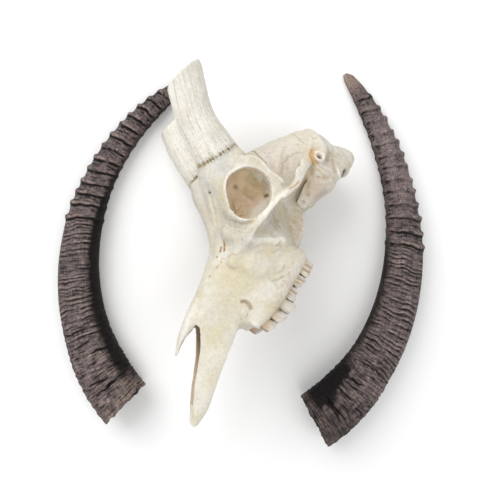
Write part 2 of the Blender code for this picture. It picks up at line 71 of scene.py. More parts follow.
class Tone(Enum):
    """Colours of bone, dirt and horn, and of painted shade and highlights, as linear red, green
    and blue.
    """

    CREAM = (0.625, 0.582, 0.498)
    CHALK = (0.725, 0.695, 0.620)
    IVORY = (0.610, 0.548, 0.380)
    PINK = (0.610, 0.500, 0.430)
    BLUE = (0.630, 0.640, 0.635)
    # Bleached bone of the horn cores, and painted highlight on lit ridges, lips and the socket
    # floor.
    BLEACH_AND_HIGHLIGHT = (0.865, 0.840, 0.765)
    # Lilac grey, used mostly as painted shade.
    LILAC = (0.500, 0.455, 0.430)
    GREY = (0.440, 0.415, 0.345)
    SAND = (0.850, 0.690, 0.480)
    # Dull brown, used as painted shade deep in the eye sockets.
    DUSK = (0.620, 0.530, 0.320)
    ROSE = (0.800, 0.620, 0.480)
    TAN = (0.480, 0.355, 0.225)
    OCHRE = (0.560, 0.340, 0.110)
    BROWN = (0.260, 0.155, 0.070)
    OLIVE = (0.240, 0.190, 0.085)
    # Near black, used as painted shadow in a notch and a small opening.
    SHADOW_BLACK = (0.020, 0.017, 0.015)
    HORN = (0.112, 0.085, 0.087)
    # Paler horn: random lighter tone, and painted highlight on the ring crests.
    HORN_PALE = (0.225, 0.176, 0.172)
    # Near black: darker horn layers, and painted shade in grooves, inside the hollow, on the
    # concave side and along the convex edge.
    HORN_DARK = (0.006, 0.005, 0.005)
    HORN_STRAW = (0.285, 0.212, 0.165)
    HORN_TIP = (0.310, 0.230, 0.190)


# Mesh tools

def new_object(name: str, bm: bmesh.types.BMesh) -> bpy.types.Object:
    """Make an object of a bmesh, its faces turned outwards.

    Args:
        name: The object's name.
        bm: The mesh, which is freed.

    Returns:
        The new object, linked to the scene.
    """
    bmesh.ops.recalc_face_normals(bm, faces=bm.faces)
    mesh = bpy.data.meshes.new(name)
    bm.to_mesh(mesh)
    bm.free()
    thing = bpy.data.objects.new(name, mesh)
    bpy.context.collection.objects.link(thing)
    return thing


def drop(things: Iterable[bpy.types.Object]) -> None:
    """Remove helper objects."""
    for thing in things:
        bpy.data.objects.remove(thing, do_unlink=True)


def settle(thing: bpy.types.Object) -> bpy.types.Object:
    """Keep the mesh that an object's modifiers make, and clear them.

    Args:
        thing: The object with modifiers.

    Returns:
        The same object.
    """
    graph = bpy.context.evaluated_depsgraph_get()
    mesh = bpy.data.meshes.new_from_object(thing.evaluated_get(graph))
    thing.modifiers.clear()
    thing.data = mesh
    return thing


def smooth_rows(rows: Rows, steps: int) -> np.ndarray:
    """Catmull-Rom rows through the given ones.

    Args:
        rows: Rows of numbers.
        steps: How many rows each gap is divided into.

    Returns:
        The denser rows.
    """
    given = np.asarray(rows, float)
    padded = np.vstack([2 * given[0] - given[1], given, 2 * given[-1] - given[-2]])
    t = (np.arange(steps) / steps)[:, None]
    out = [0.5 * (2 * b + (c - a) * t + (2 * a - 5 * b + 4 * c - d) * t ** 2
                  + (3 * b - a - 3 * c + d) * t ** 3)
           for a, b, c, d in zip(padded, padded[1:], padded[2:], padded[3:])]
    return np.vstack(out + [given[-1:]])


def loft(name: str, rings: np.ndarray) -> bpy.types.Object:
    """Skin a stack of rings as one closed surface, by bending a grid round them.

    Args:
        name: The object's name.
        rings: Points as (ring, side, xyz).

    Returns:
        The closed object.
    """
    count, sides = rings.shape[:2]
    bm = bmesh.new()
    bmesh.ops.create_grid(bm, x_segments=sides, y_segments=count - 1, size=1.0)
    flat = np.array([vert.co[:2] for vert in bm.verts])
    share = (flat - flat.min(axis=0)) / (flat.max(axis=0) - flat.min(axis=0))
    columns = np.rint(share[:, 0] * sides).astype(int) % sides
    levels = np.rint(share[:, 1] * (count - 1)).astype(int)
    for vert, point in zip(bm.verts, rings[levels, columns]):
        vert.co = point
    rim = [vert for vert in bm.verts if vert.is_boundary]
    bmesh.ops.remove_doubles(bm, verts=rim, dist=1e-6)
    bmesh.ops.holes_fill(bm, edges=[edge for edge in bm.edges if edge.is_boundary], sides=0)
    return new_object(name, bm)


def signed_power(values: np.ndarray, power: np.ndarray) -> np.ndarray:
    """A signed power, which squares off a circle's sine or cosine."""
    return np.sign(values) * np.abs(values) ** (2.0 / power)


def hull(name: str, rows: Rows, steps: int = 10, side: int = 0,
         sides: int = FORM_SIDES) -> bpy.types.Object:
    """Loft along x through rows of (x, top, bottom, half width, belly height, squareness).

    Args:
        name: The object's name.
        rows: The stations. With a side they end with the shift towards that side.
        steps: Rings between two stations.
        side: LEFT, RIGHT, or 0 for a form on the midline.
        sides: Points round a ring.

    Returns:
        The closed form.
    """
    dense = smooth_rows(rows, steps)
    x, top, bottom, half, belly, power = (dense[:, k:k + 1] for k in range(6))
    shift = side * dense[:, 6:7] if side else 0.0
    turns = math.tau * (np.arange(sides) + 0.5) / sides
    across, rise = np.cos(turns)[None], np.sin(turns)[None]
    reach = np.where(rise > 0, top - belly, belly - bottom)
    y = shift + half * signed_power(across, power)
    z = belly + reach * signed_power(rise, power)
    return loft(name, np.stack([np.broadcast_to(x, y.shape), y, z], axis=-1))


def limb(name: str, rows: Rows, side: int, up: Point = (0, 0, 1), steps: int = 8,
         sides: int = 40) -> bpy.types.Object:
    """Loft along a path of rows (x, y, z, half breadth, half height) on one side.

    Args:
        name: The object's name.
        rows: The path's rows.
        side: LEFT or RIGHT.
        up: The way the height of each section lies, as far as the path allows.
        steps: Rings between two rows.
        sides: Points round a ring.

    Returns:
        The closed form.
    """
    dense = smooth_rows(rows, steps)
    centres = dense[:, :3] * (1, side, 1)
    upward = np.array((up[0], side * up[1], up[2]), float)
    along = np.gradient(centres, axis=0)
    along /= np.linalg.norm(along, axis=1, keepdims=True)
    high = upward - along * (along @ upward)[:, None]
    high /= np.linalg.norm(high, axis=1, keepdims=True)
    broad = np.cross(high, along)
    turns = math.tau * np.arange(sides) / sides
    rings = centres[:, None] + broad[:, None] * (dense[:, 3:4] * np.cos(turns))[..., None] \
        + high[:, None] * (dense[:, 4:5] * np.sin(turns))[..., None]
    return loft(name, rings)


def blob(name: str, centre: Point, radii: Point, side: int,
         turn: Point = (0, 0, 0)) -> bpy.types.Object:
    """An ellipsoid, turned by angles in degrees and mirrored to its side."""
    bm = bmesh.new()
    bmesh.ops.create_icosphere(bm, subdivisions=5, radius=1.0)
    spin = Matrix.Rotation(math.radians(turn[2]), 4, "Z") \
        @ Matrix.Rotation(math.radians(turn[1]), 4, "Y") \
        @ Matrix.Rotation(math.radians(turn[0]), 4, "X")
    place = Matrix.Diagonal((1, side, 1, 1)) @ Matrix.Translation(centre) @ spin \
        @ Matrix.Diagonal((*radii, 1))
    bmesh.ops.transform(bm, matrix=place, verts=bm.verts)
    return new_object(name, bm)


def both_sides(make: Callable[[int], list]) -> list:
    """Call a maker for the left and the right side, and gather what it gives."""
    return make(LEFT) + make(RIGHT)


def join(name: str, things: list[bpy.types.Object]) -> bpy.types.Object:
    """Put several closed meshes into one object."""
    bm = bmesh.new()
    for thing in things:
        bm.from_mesh(thing.data)
    drop(things)
    return new_object(name, bm)


def fuse(thing: bpy.types.Object, rounds: int) -> bpy.types.Object:
    """Make one skin of overlapping closed meshes, and relax it."""
    remesh = thing.modifiers.new("skin", "REMESH")
    remesh.mode = "VOXEL"
    remesh.voxel_size = VOXEL
    relax = thing.modifiers.new("relax", "SMOOTH")
    relax.factor = 0.5
    relax.iterations = rounds
    return settle(thing)


def combine(thing: bpy.types.Object, others: list[bpy.types.Object], operation: str,
            keep: bool = False) -> bpy.types.Object:
    """Boolean an object with closed helpers.

    Args:
        thing: The object that is changed.
        others: The helpers.
        operation: DIFFERENCE, INTERSECT or UNION.
        keep: Whether the helpers stay for another use.

    Returns:
        The changed object.
    """
    group = bpy.data.collections.new("helpers")
    for other in others:
        group.objects.link(other)
    boolean = thing.modifiers.new("combine", "BOOLEAN")
    boolean.operation = operation
    boolean.operand_type = "COLLECTION"
    boolean.collection = group
    boolean.solver = "MANIFOLD"
    settle(thing)
    bpy.data.collections.remove(group)
    if not keep:
        drop(others)
    return thing


def main_pieces(thing: bpy.types.Object, least: float = 1.0) -> bpy.types.Object:
    """Keep a mesh's closed surfaces that have at least a share of the biggest one's points."""
    bm = bmesh.new()
    bm.from_mesh(thing.data)
    bm.verts.ensure_lookup_table()
    seen = np.zeros(len(bm.verts), bool)
    islands: list[list[int]] = []
    for start in range(len(bm.verts)):
        if seen[start]:
            continue
        seen[start] = True
        stack, island = [bm.verts[start]], []
        while stack:
            vert = stack.pop()
            island.append(vert.index)
            for edge in vert.link_edges:
                other = edge.other_vert(vert)
                if not seen[other.index]:
                    seen[other.index] = True
                    stack.append(other)
        islands.append(island)
    limit = least * max(len(island) for island in islands)
    keep = {index for island in islands if len(island) >= limit for index in island}
    loose = [vert for vert in bm.verts if vert.index not in keep]
    bmesh.ops.delete(bm, geom=loose, context="VERTS")
    bm.to_mesh(thing.data)
    bm.free()
    return thing


def grain(points: np.ndarray, size: float | Point, seed: float, octaves: int = 3) -> np.ndarray:
    """Fractal noise of about -1 to 1 at each point.

    Args:
        points: Points as rows.
        size: The size of its largest lumps, or one size for each axis.
        seed: Which noise it is.
        octaves: How many finer layers it has.

    Returns:
        One value for each point.
    """
    shifted = points / np.asarray(size, float) + np.array((17.3, -9.1, 4.7)) * seed
    return np.array([noise.fractal(Vector(row), 0.9, 2.1, octaves) for row in shifted])


def thin(thing: bpy.types.Object, most: int) -> bpy.types.Object:
    """Collapse the flattest faces of a mesh that has more than most triangles."""
    triangles = sum(len(face.vertices) - 2 for face in thing.data.polygons)
    if triangles <= most:
        return thing
    fewer = thing.modifiers.new("fewer", "DECIMATE")
    fewer.ratio = most / triangles
    return settle(thing)


def ease(values: np.ndarray, low: float, high: float) -> np.ndarray:
    """A smooth step from 0 at low to 1 at high."""
    share = np.clip((values - low) / (high - low), 0.0, 1.0)
    return share * share * (3 - 2 * share)


# The skull's forms

@dataclass(frozen=True)
class SkullForms:
    """The skull's solid forms and hollows, as lofts in its own frame."""

    orbit: tuple[float, float, float] = (130.0, 73.0, 110.2)
    orbit_reach: tuple[float, ...] = (29.9, 25.6, 25.4, 27.6, 28.3, 29.6, 28.6, 28.9, 28.3, 28.5,
                                      29.6, 31.6)
    orbit_lean: float = 0.16
    horn_seam: tuple[float, float, float] = (102.5, 46.0, 164.5)
    horn_seam_size: tuple[float, float] = (28.5, 23.5)
    horn_end: tuple[float, float, float] = (48.8, 72.3, 250.0)
    horn_end_size: tuple[float, float] = (24.0, 20.3)
    right_core_shorter: float = 5.0
    saw_fall: float = 14.0
    melt_rounds: int = 14
    settle_rounds: int = 2

    def trunk(self) -> list[bpy.types.Object]:
        """Muzzle, forehead and braincase, each a loft along x."""
        muzzle = hull("muzzle", [
            (283, 87.5, 31, 26, 50, 2.4), (268, 91, 30, 29, 48, 2.4),
            (257, 93.5, 24, 32, 42, 2.35), (250, 95, 11, 34, 36, 2.3),
            (225, 101, 3, 41, 30, 2.2), (200, 107.5, -1, 46, 32, 2.2), (175, 115, -1, 49, 42, 2.3),
            (150, 126, 6, 48, 60, 2.5), (125, 143, 34, 44, 90, 2.6), (104, 147, 52, 40, 100, 2.6)])
        braincase = hull("braincase", [
            (120, 146, 62, 38, 105, 2.4), (88, 149, 48, 40, 95, 2.3), (60, 135.5, 42, 42, 84, 2.2),
            (38, 124, 36, 43, 77, 2.2), (18, 110.5, 33, 42, 70, 2.2), (2, 100, 34, 38, 66, 2.2),
            (-6, 92, 42, 30, 66, 2.2)])
        return [muzzle, braincase]

    def horn_path(self) -> list[tuple[float, ...]]:
        """Rows of the horn core's path from deep in the forehead to its sawn end."""
        seam, end = np.array(self.horn_seam), np.array(self.horn_end)
        middle = (seam + end) / 2 + np.array((6.0, -1.5, 3.6))
        first, last = np.array(self.horn_seam_size), np.array(self.horn_end_size)
        return [(116, 28, 112, 44, 27), (113, 33, 130, 39, 26), (108, 40, 148, 32, 24.5),
                (*seam, *first), (*middle, *(first * 0.40 + last * 0.52)), (*end, *last),
                (*(end + (end - middle) * 0.25), *(last * 0.98))]

    def horn(self, side: int) -> list[bpy.types.Object]:
        """Pedicle and horn core in one limb, with the ridge that runs down its front."""
        rows = [(x, y, z, across, fore) for x, y, z, fore, across in self.horn_path()]
        return [limb("core", rows, side, up=(1, 0, 0), sides=64),
                limb("front_ridge", [(208, 16, 93, 7, 7), (182, 22, 104, 10, 9),
                                     (162, 27, 119, 13, 10.5), (146, 32, 138, 15, 12),
                                     (132, 35, 156, 16, 12), (120, 38, 172, 14, 10)],
                     side, up=(1, 0, 0.6))]

    def orbit_edge(self, side: int, rows: Rows, around: int = 96) -> np.ndarray:
        """Rings that follow the orbit's uneven outline.

        Args:
            side: LEFT or RIGHT.
            rows: Rows of (y, shift in x, shift in z, scale, what is added to the reach).
            around: Points round a ring.

        Returns:
            Points as (ring, side, xyz).
        """
        reach = smooth_rows([[value] for value in (self.orbit_reach[-1:] + self.orbit_reach
                                                   + self.orbit_reach[:2])], around // 12)
        reach = reach[around // 12:around // 12 + around, 0][None]
        turns = (math.tau * np.arange(around) / around)[None]
        y, over, rise, scale, more = (smooth_rows(rows, 6)[:, k:k + 1] for k in range(5))
        radius = reach * scale + more
        x, z = radius * np.cos(turns), radius * np.sin(turns)
        depth = y - self.orbit_lean * np.clip(x, 0, None) * ease(y, 30, 60)
        across, high = self.orbit[0] + over + x, self.orbit[2] + rise + z
        return np.stack([across, side * depth, high], axis=-1)

    def orbit_gap(self, points: np.ndarray) -> np.ndarray:
        """How far points lie outside the orbit's outline, seen from the side."""
        over, rise = points[:, 0] - self.orbit[0], points[:, 2] - self.orbit[2]
        edge = np.interp(np.arctan2(rise, over) % math.tau, np.arange(13) * math.tau / 12,
                         self.orbit_reach + self.orbit_reach[:1])
        return np.hypot(over, rise) - edge

    def eye(self, side: int) -> list[bpy.types.Object]:
        """The socket's wall, the brow over it, the face in front of it and the bar behind it."""
        wall = self.orbit_edge(side, [(18, 6, -8, 1, 10), (45, 3, -3, 1, 8), (64, 0.5, 0, 1, 6.5),
                                      (73, 0, 0, 1, 4.6), (77.5, 0, 0, 1, 2.6)])
        return [loft("socket", wall),
                blob("pedicle_foot", (124, 50, 154), (25, 17, 17), side, (0, 35, 0)),
                blob("brow_hollow", (149, 40, 125), (13, 16, 11), side, (0, 40, 0)),
                blob("lacrimal", (168, 42, 100), (18, 17, 16), side),
                blob("bar_root", (97, 55, 142), (15, 15, 9), side),
                limb("bar", [(106, 68, 144, 8, 9), (98, 74, 128, 6, 8), (97, 77, 112, 5, 7.5),
                             (99, 78.5, 97, 4.5, 7), (101, 79, 85, 4.5, 7),
                             (101, 79, 76, 4, 7)], side, up=(1, 0, 0))]

    def cheek(self, side: int) -> list[bpy.types.Object]:
        """Jugal ridge, facial tuber and the arch that runs back to the ear."""
        return [limb("cheek_plate_upper", [(206, 34, 76, 8, 9), (192, 38, 78, 10, 10),
                                           (179, 43, 82, 12, 10), (167, 53, 84, 13, 8.5),
                                           (156, 59, 84, 15, 6), (145, 64, 81, 14, 4.5),
                                           (130, 66, 79, 13, 4.5), (115, 69, 77, 11, 4.5),
                                           (100, 73, 74, 7, 6)], side),
                limb("arch", [(114, 77, 73.5, 3.2, 4.2), (101, 77.5, 69.5, 2.8, 4.4),
                              (91, 75.5, 67, 2.8, 5.2), (81, 73, 68, 2.8, 6.4),
                              (69, 68, 69.5, 3.2, 7.2), (57, 62, 70, 4.2, 7.6),
                              (44, 54, 68, 6, 8)], side),
                blob("bar_foot", (106, 76, 83), (10, 5, 7), side),
                blob("tuber", (187, 37, 50), (22, 15, 30), side, (0, 12, 0)),
                blob("cheek_plate", (198, 30, 26), (48, 17, 28), side, (0, 8, 0)),
                hull("alveolus", [
                    (252, 24, 10, 7, 16, 2.2, 32), (228, 28, 4.5, 9, 14, 2.6, 36),
                    (200, 34, 3, 10, 16, 2.6, 38.5), (170, 38, 3.4, 10, 18, 2.6, 39.5),
                    (150, 34, 4, 8, 18, 2.4, 39), (143, 28, 7, 5, 17, 2.4, 38)],
                     side=side, sides=48)]

    def muzzle_tip(self, side: int) -> list[bpy.types.Object]:
        """Nasal spike, premaxilla and palate bar of one side."""
        return [limb("nasal", [(256, 10.5, 87.5, 11, 7), (272, 10.8, 85, 11.5, 7.2),
                               (286, 10.8, 82.8, 11.5, 7.2), (298, 10, 81.4, 10.5, 5.8),
                               (306, 9, 81, 8.8, 3.9), (315, 7.8, 78.8, 6, 2.6),
                               (323, 7, 76.4, 3.8, 1.9), (330, 6.5, 73.8, 2, 1.2)], side),
                limb("premaxilla", [(254, 20, 57, 4, 25), (272, 24, 55, 5, 27),
                                    (290, 25, 49, 4.8, 24.5), (308, 24, 41, 4.4, 19.5),
                                    (326, 21, 34, 4.4, 15.8), (345, 17, 27.2, 4.8, 13.6),
                                    (362, 13.5, 21.2, 5.4, 11.4), (375, 11, 17.2, 5.2, 7.2),
                                    (383, 9.5, 15.6, 4, 4.6), (387, 9, 15.2, 2, 2)],
                     side, up=(0, -0.35, 1)),
                limb("palate_bar", [(280, 9, 32, 6, 3), (310, 8, 27.5, 4.5, 2.5),
                                    (345, 7, 21, 4, 2.5), (368, 8, 16.5, 4, 2.5)], side)]

    def base(self, side: int) -> list[bpy.types.Object]:
        """Occiput, condyle, ear and the processes under the braincase."""
        return [limb("nuchal_crest", [(-5, 0, 88, 5, 5), (-3, 20, 86, 4.5, 5), (5, 38, 78, 4.5, 5),
                                      (16, 52, 66, 6, 6), (24, 54, 52, 6, 6)], side),
                limb("temporal_crest", [(10, 44, 78, 4, 5), (30, 50, 72, 6, 6),
                                        (50, 58, 69, 7, 6)], side),
                limb("condyle", [(14, 20, 52, 8, 8), (4, 23, 44, 9, 10), (-1, 25.5, 33, 8.5, 10),
                                 (-2, 26, 22, 7.5, 8.5), (1, 25, 14, 4.5, 5)], side, up=(1, 0, 0)),
                limb("condyle_lip", [(8, 31, 40, 5, 6), (9, 34, 28, 5, 8), (10, 33, 18, 4, 6)],
                     side, up=(1, 0, 0)),
                blob("occiput_side", (20, 34, 38), (20, 15, 25), side, (0, 0, 10)),
                blob("mastoid_plate", (30, 41, 40), (19, 10, 22), side, (0, -14, 0)),
                blob("ear_root", (33, 44, 66), (17, 12, 12), side),
                blob("fan", (45, 46, 45), (14, 9, 13), side, (0, 20, 0)),
                blob("bulla", (53, 39, 31), (14, 12, 11), side, (0, -24, 0)),
                limb("bulla_spine", [(50, 34, 30, 10, 9), (64, 30, 33, 8, 8), (78, 26, 37, 6, 7),
                                     (90, 22, 41, 4, 5)], side),
                limb("ear_tube", [(44, 36, 52, 11, 11), (38, 48, 56, 9, 9),
                                  (34.5, 57, 58.5, 8.4, 8.2), (34, 61, 58.6, 7.4, 7.2)],
                     side, up=(1, 0, 0)),
                blob("condyle_side", (6, 30, 26), (15, 9, 13), side),
                limb("side_wall", [(50, 40, 40, 9, 18), (62, 40, 42, 9, 14), (74, 39, 43, 8, 11),
                                   (86, 38, 44, 6, 9), (96, 33, 46, 4, 7)], side),
                limb("pterygoid", [(84, 15, 56, 3, 10), (100, 14, 44, 2.5, 14),
                                   (120, 14, 32, 2.5, 14), (142, 17, 24, 3, 10)], side),
                limb("basioccipital", [(2, 8, 44, 12, 12), (30, 6, 42, 11, 9), (70, 5, 50, 10, 9),
                                       (110, 5, 62, 9, 14)], side)]

    def socket(self, side: int) -> list[bpy.types.Object]:
        """The hollow of one eye socket."""
        return [loft("socket_hollow", self.orbit_edge(side, [
            (27, -3, -3, 0.5, 0), (34, -4, -3, 0.86, 0), (50, -2, -1, 1.0, 2.5),
            (66, 0, 0, 1.0, 0.6), (72, 0, 0, 1.0, 0), (100, 0, 0, 1.0, 0.5)]))]

    def hollows(self) -> list[bpy.types.Object]:
        """Sockets, nose, palate, throat, ear canals and the great foramen."""
        middle = [
            hull("nose", [(330, 73, 26, 14, 50, 2.4), (300, 76.5, 33, 20, 52, 2.8),
                          (284, 78, 36, 22.5, 54, 3.0), (268, 81, 36, 24, 54, 2.6),
                          (240, 87, 32, 26, 50, 2.3), (210, 92, 28, 26, 50, 2.3),
                          (185, 88, 36, 20, 60, 2.2)]),
            hull("nose_slot", [(277.5, 76.4, 75.6, 45, 76, 8), (283, 76, 73, 45, 74.5, 8),
                               (289, 76, 68.5, 45, 72, 8), (296, 76, 63.5, 45, 70, 8),
                               (303, 78, 59, 45, 68, 8), (308, 77, 56, 45, 66, 8),
                               (315, 75, 52.2, 45, 64, 8), (327, 71.5, 47, 45, 60, 8),
                               (345, 68, 39.5, 45, 55, 8), (365, 60, 29.5, 45, 45, 8),
                               (380, 52, 21.5, 45, 36, 8), (396, 48, 18, 45, 32, 8)], steps=6),
            hull("palate", [(300, 19, -20, 16, 4, 2.4), (270, 19, -20, 21, 4, 2.4),
                            (240, 15, -24, 24, 0, 2.4), (200, 13, -28, 26, 0, 2.4),
                            (160, 14, -28, 27, 0, 2.4), (140, 22, -28, 27, 0, 2.4)]),
            hull("throat", [(160, 30, -10, 10, 20, 2.4), (135, 50, -20, 11.5, 24, 2.4),
                            (110, 56, -30, 11.5, 30, 2.4), (88, 56, -10, 9, 34, 2.4)]),
            hull("foramen", [(-30, 66, 34, 13, 50, 2.1), (6, 64, 36, 13, 50, 2.1),
                             (26, 60, 42, 10, 50, 2.1)])]

        def beside(side: int) -> list[bpy.types.Object]:
            """The hollows of one side."""
            return self.socket(side) + [
                hull("panel_hollow", [
                    (175, 79.6, 77.4, 20, 78.5, 5, 68), (168, 81, 74, 21, 78, 5, 67),
                    (160, 81.4, 69, 22, 76, 5, 66.5), (152, 79.6, 58, 23, 70, 5, 67.5),
                    (145, 77.6, 46, 23.5, 64, 5, 68), (138, 75.4, 30, 24, 58, 5, 68),
                    (124, 71.6, 22, 24, 54, 5, 68), (108, 68.4, 20, 24, 50, 5, 68),
                    (94, 62, 20, 24, 46, 5, 68)], side=side, steps=8),
                limb("fossa_hollow", [
                    (120, 52, 100, 14, 20), (96, 56, 96, 15, 24), (78, 58, 96, 14, 26),
                    (62, 62, 98, 14, 24), (40, 70, 110, 14, 26)], side, sides=64),
                limb("ear_canal", [
                    (40, 48, 55, 2.2, 2.2), (36, 56, 58.5, 2.4, 2.6), (35.5, 61, 58.6, 2.6, 3.2),
                    (37.5, 72, 59.2, 3, 3.6)], side, up=(1, 0, 0))]

        return middle + both_sides(beside)

    def horn_axis(self, side: int) -> Vector:
        """The direction in which a horn core leaves its seam."""
        path = [Vector(row[:3]) for row in self.horn_path()]
        along = (path[4] - path[2]).normalized()
        return Vector((along.x, side * along.y, along.z))

    def saw(self, side: int) -> list[bpy.types.Object]:
        """What the saw took off the horn core: a block on its sloping end."""
        fall = math.radians(self.saw_fall)
        end = Vector((self.horn_end[0], side * self.horn_end[1], self.horn_end[2]))
        if side == RIGHT:
            end -= self.horn_axis(side) * self.right_core_shorter
        return [block("saw", end, Vector((-math.sin(fall), 0, math.cos(fall))), 90, 60)]

    def whole(self) -> bpy.types.Object:
        """The skull in one closed surface, hollowed, before it is carved."""
        forms = self.trunk()
        for maker in (self.horn, self.eye, self.cheek, self.muzzle_tip, self.base):
            forms += both_sides(maker)
        skull = main_pieces(fuse(fuse(join("skull", forms), self.melt_rounds), 0))
        combine(skull, self.hollows() + both_sides(self.saw), "DIFFERENCE")
        skull = main_pieces(fuse(skull, self.settle_rounds))
        combine(skull, both_sides(self.socket), "DIFFERENCE")
        return main_pieces(fuse(skull, self.settle_rounds))


def block(name: str, centre: Vector, normal: Vector, breadth: float, height: float,
          cells: int = 1, relief: Optional[Callable[[float, float], float]] = None
          ) -> bpy.types.Object:
    """A square block that stands on a plane through centre, on the side of its normal.

    Args:
        name: The object's name.
        centre: The middle of its foot.
        normal: The way it stands.
        breadth: Its width both ways.
        height: Its height.
        cells: How many cells its foot has each way.
        relief: The height of the foot above its plane, from its place on it.

    Returns:
        The closed block.
    """
    bm = bmesh.new()
    bmesh.ops.create_grid(bm, x_segments=cells, y_segments=cells, size=0.5)
    made = bmesh.ops.extrude_face_region(bm, geom=bm.faces[:])["geom"]
    top = [item for item in made if isinstance(item, bmesh.types.BMVert)]
    foot = set(bm.verts) - set(top)
    for vert in foot:
        if relief:
            vert.co.z = relief(vert.co.x * breadth, vert.co.y * breadth) / height
    for vert in top:
        vert.co.z = 1.0
    turn = normal.to_track_quat("Z", "Y").to_matrix().to_4x4()
    place = Matrix.Translation(centre) @ turn @ Matrix.Diagonal((breadth, breadth, height, 1))
    bmesh.ops.transform(bm, matrix=place, verts=bm.verts)
    return new_object(name, bm)


# Carving and painting

@dataclass(frozen=True)
class Stroke:
    """One pass of a tool along the bone: a line, its width, its height and its colour."""

    line: Rows
    width: float
    height: float
    tone: Optional[Tone] = None
    paint: float = 1.0
    paint_width: float = 1.0
    wander: float = 0.0
    taper: bool = True


class Carver:
    """Holds the skull's points while strokes move and paint them."""

    def __init__(self, thing: bpy.types.Object) -> None:
        """Read the mesh and measure it."""
        self.thing = thing
        mesh = thing.data
        count = len(mesh.vertices)
        self.points = np.empty(count * 3)
        mesh.vertices.foreach_get("co", self.points)
        self.points = self.points.reshape(-1, 3)
        self.edges = np.empty(len(mesh.edges) * 2, np.int64)
        mesh.edges.foreach_get("vertices", self.edges)
        self.edges = self.edges.reshape(-1, 2)
        self.links = np.bincount(self.edges.ravel(), minlength=count)[:, None]
        self.tint = np.tile(np.array(Tone.CREAM.value), (count, 1))
        self.measure()

    def measure(self) -> None:
        """Find the normals and the search tree of the points as they stand."""
        mesh = self.thing.data
        mesh.vertices.foreach_set("co", self.points.ravel())
        mesh.update()
        self.normals = np.empty(len(self.points) * 3)
        mesh.vertex_normals.foreach_get("vector", self.normals)
        self.normals = self.normals.reshape(-1, 3)
        bm = bmesh.new()
        bm.from_mesh(mesh)
        self.tree = BVHTree.FromBMesh(bm)
        bm.free()

    def relaxed(self, values: np.ndarray, rounds: int) -> np.ndarray:
        """Average values over the mesh's edges, some rounds long."""
        out = values.copy()
        for _ in range(rounds):
            sums = np.stack([
                np.bincount(self.edges[:, 0], out[self.edges[:, 1], k], len(out))
                + np.bincount(self.edges[:, 1], out[self.edges[:, 0], k], len(out))
                for k in range(out.shape[1])], axis=1)
            out = 0.4 * out + 0.6 * sums / self.links
        return out

    def melt(self, mask: np.ndarray, rounds: int) -> None:
        """Relax the points by a mask from 0 to 1, which flattens lumps and creases."""
        pull = np.clip(mask, 0, 1)
        ends = self.edges[pull[self.edges].max(axis=1) > 0.02]
        which, flat = np.unique(ends, return_inverse=True)
        first, second = flat.reshape(-1, 2).T
        spots, pull = self.points[which], 0.6 * pull[which, None]
        links = np.bincount(np.concatenate([first, second]))[:, None]
        for _ in range(rounds):
            sums = np.stack([np.bincount(first, spots[second, k], len(which))
                             + np.bincount(second, spots[first, k], len(which))
                             for k in range(3)], axis=1)
            spots = spots + pull * (sums / links - spots)
        self.points[which] = spots

    def hollowness(self, rounds: int) -> np.ndarray:
        """How far each point lies below the bone smoothed around it."""
        return ((self.relaxed(self.points, rounds) - self.points) * self.normals).sum(axis=1)

    def blend(self, mask: np.ndarray, tone: Tone, where: Optional[np.ndarray] = None) -> None:
        """Mix a tone into the tint, by a mask from 0 to 1."""
        spot = slice(None) if where is None else where
        mask = np.clip(mask, 0, 1)[:, None]
        self.tint[spot] = self.tint[spot] * (1 - mask) + np.array(tone.value) * mask

    def path(self, stroke: Stroke, side: int, seed: int) -> tuple[np.ndarray, np.ndarray]:
        """Lay a stroke's line on the bone of one side.

        Args:
            stroke: The stroke.
            side: LEFT or RIGHT.
            seed: Which way it wanders.

        Returns:
            The line's points and the bone's normals there.
        """
        line = np.asarray(stroke.line, float) * (1, side, 1)
        if len(line) > 1:
            span = np.linalg.norm(np.diff(line, axis=0), axis=1).mean()
            line = smooth_rows(line, max(2, int(span / 1.5)))
        if stroke.wander:
            shake = np.stack([grain(line, 3.2, seed + k * 0.37, 2) for k in range(3)], axis=1)
            line = line + shake * stroke.wander * 1.6
        hits = [self.tree.find_nearest(Vector(point)) for point in line]
        return np.array([hit[0] for hit in hits]), np.array([hit[1] for hit in hits])

    def apply(self, stroke: Stroke, side: int, seed: int) -> None:
        """Move and paint the points along one stroke."""
        line, facing = self.path(stroke, side, seed)
        reach = 3.0 * stroke.width * max(1.0, stroke.paint_width)
        near = np.flatnonzero(((self.points > line.min(axis=0) - reach)
                               & (self.points < line.max(axis=0) + reach)).all(axis=1))
        spots = self.points[near]
        distance = np.full(len(near), np.inf)
        share = np.zeros(len(near))
        front = np.zeros((len(near), 3))
        ends = list(zip(line, line[1:])) or [(line[0], line[0])]
        for k, (start, end) in enumerate(ends):
            step = end - start
            t = np.clip((spots - start) @ step / max(step @ step, 1e-9), 0, 1)
            away = np.linalg.norm(spots - start - t[:, None] * step, axis=1)
            closer = away < distance
            distance[closer] = away[closer]
            share[closer] = ((k + t) / len(ends))[closer]
            front[closer] = facing[k]
        level = (self.normals[near] * front).sum(axis=1) > -0.1
        weight = level.astype(float)
        if stroke.taper and len(line) > 1:
            weight *= ease(np.minimum(share, 1 - share), -0.02, 0.12)
        bump = np.exp(-(distance / stroke.width) ** 2) * weight
        self.points[near] += self.normals[near] * (stroke.height * bump)[:, None]
        if stroke.tone:
            spread = np.exp(-(distance / (stroke.width * stroke.paint_width)) ** 2) * weight
            self.blend(spread * stroke.paint, stroke.tone, near)

    def carve(self, strokes: Iterable[Stroke], one_side: Optional[int] = None) -> None:
        """Apply strokes on both sides, or on one."""
        for seed, stroke in enumerate(strokes):
            for side in ((one_side,) if one_side else (LEFT, RIGHT)):
                self.apply(stroke, side, seed * 2 + (side > 0))

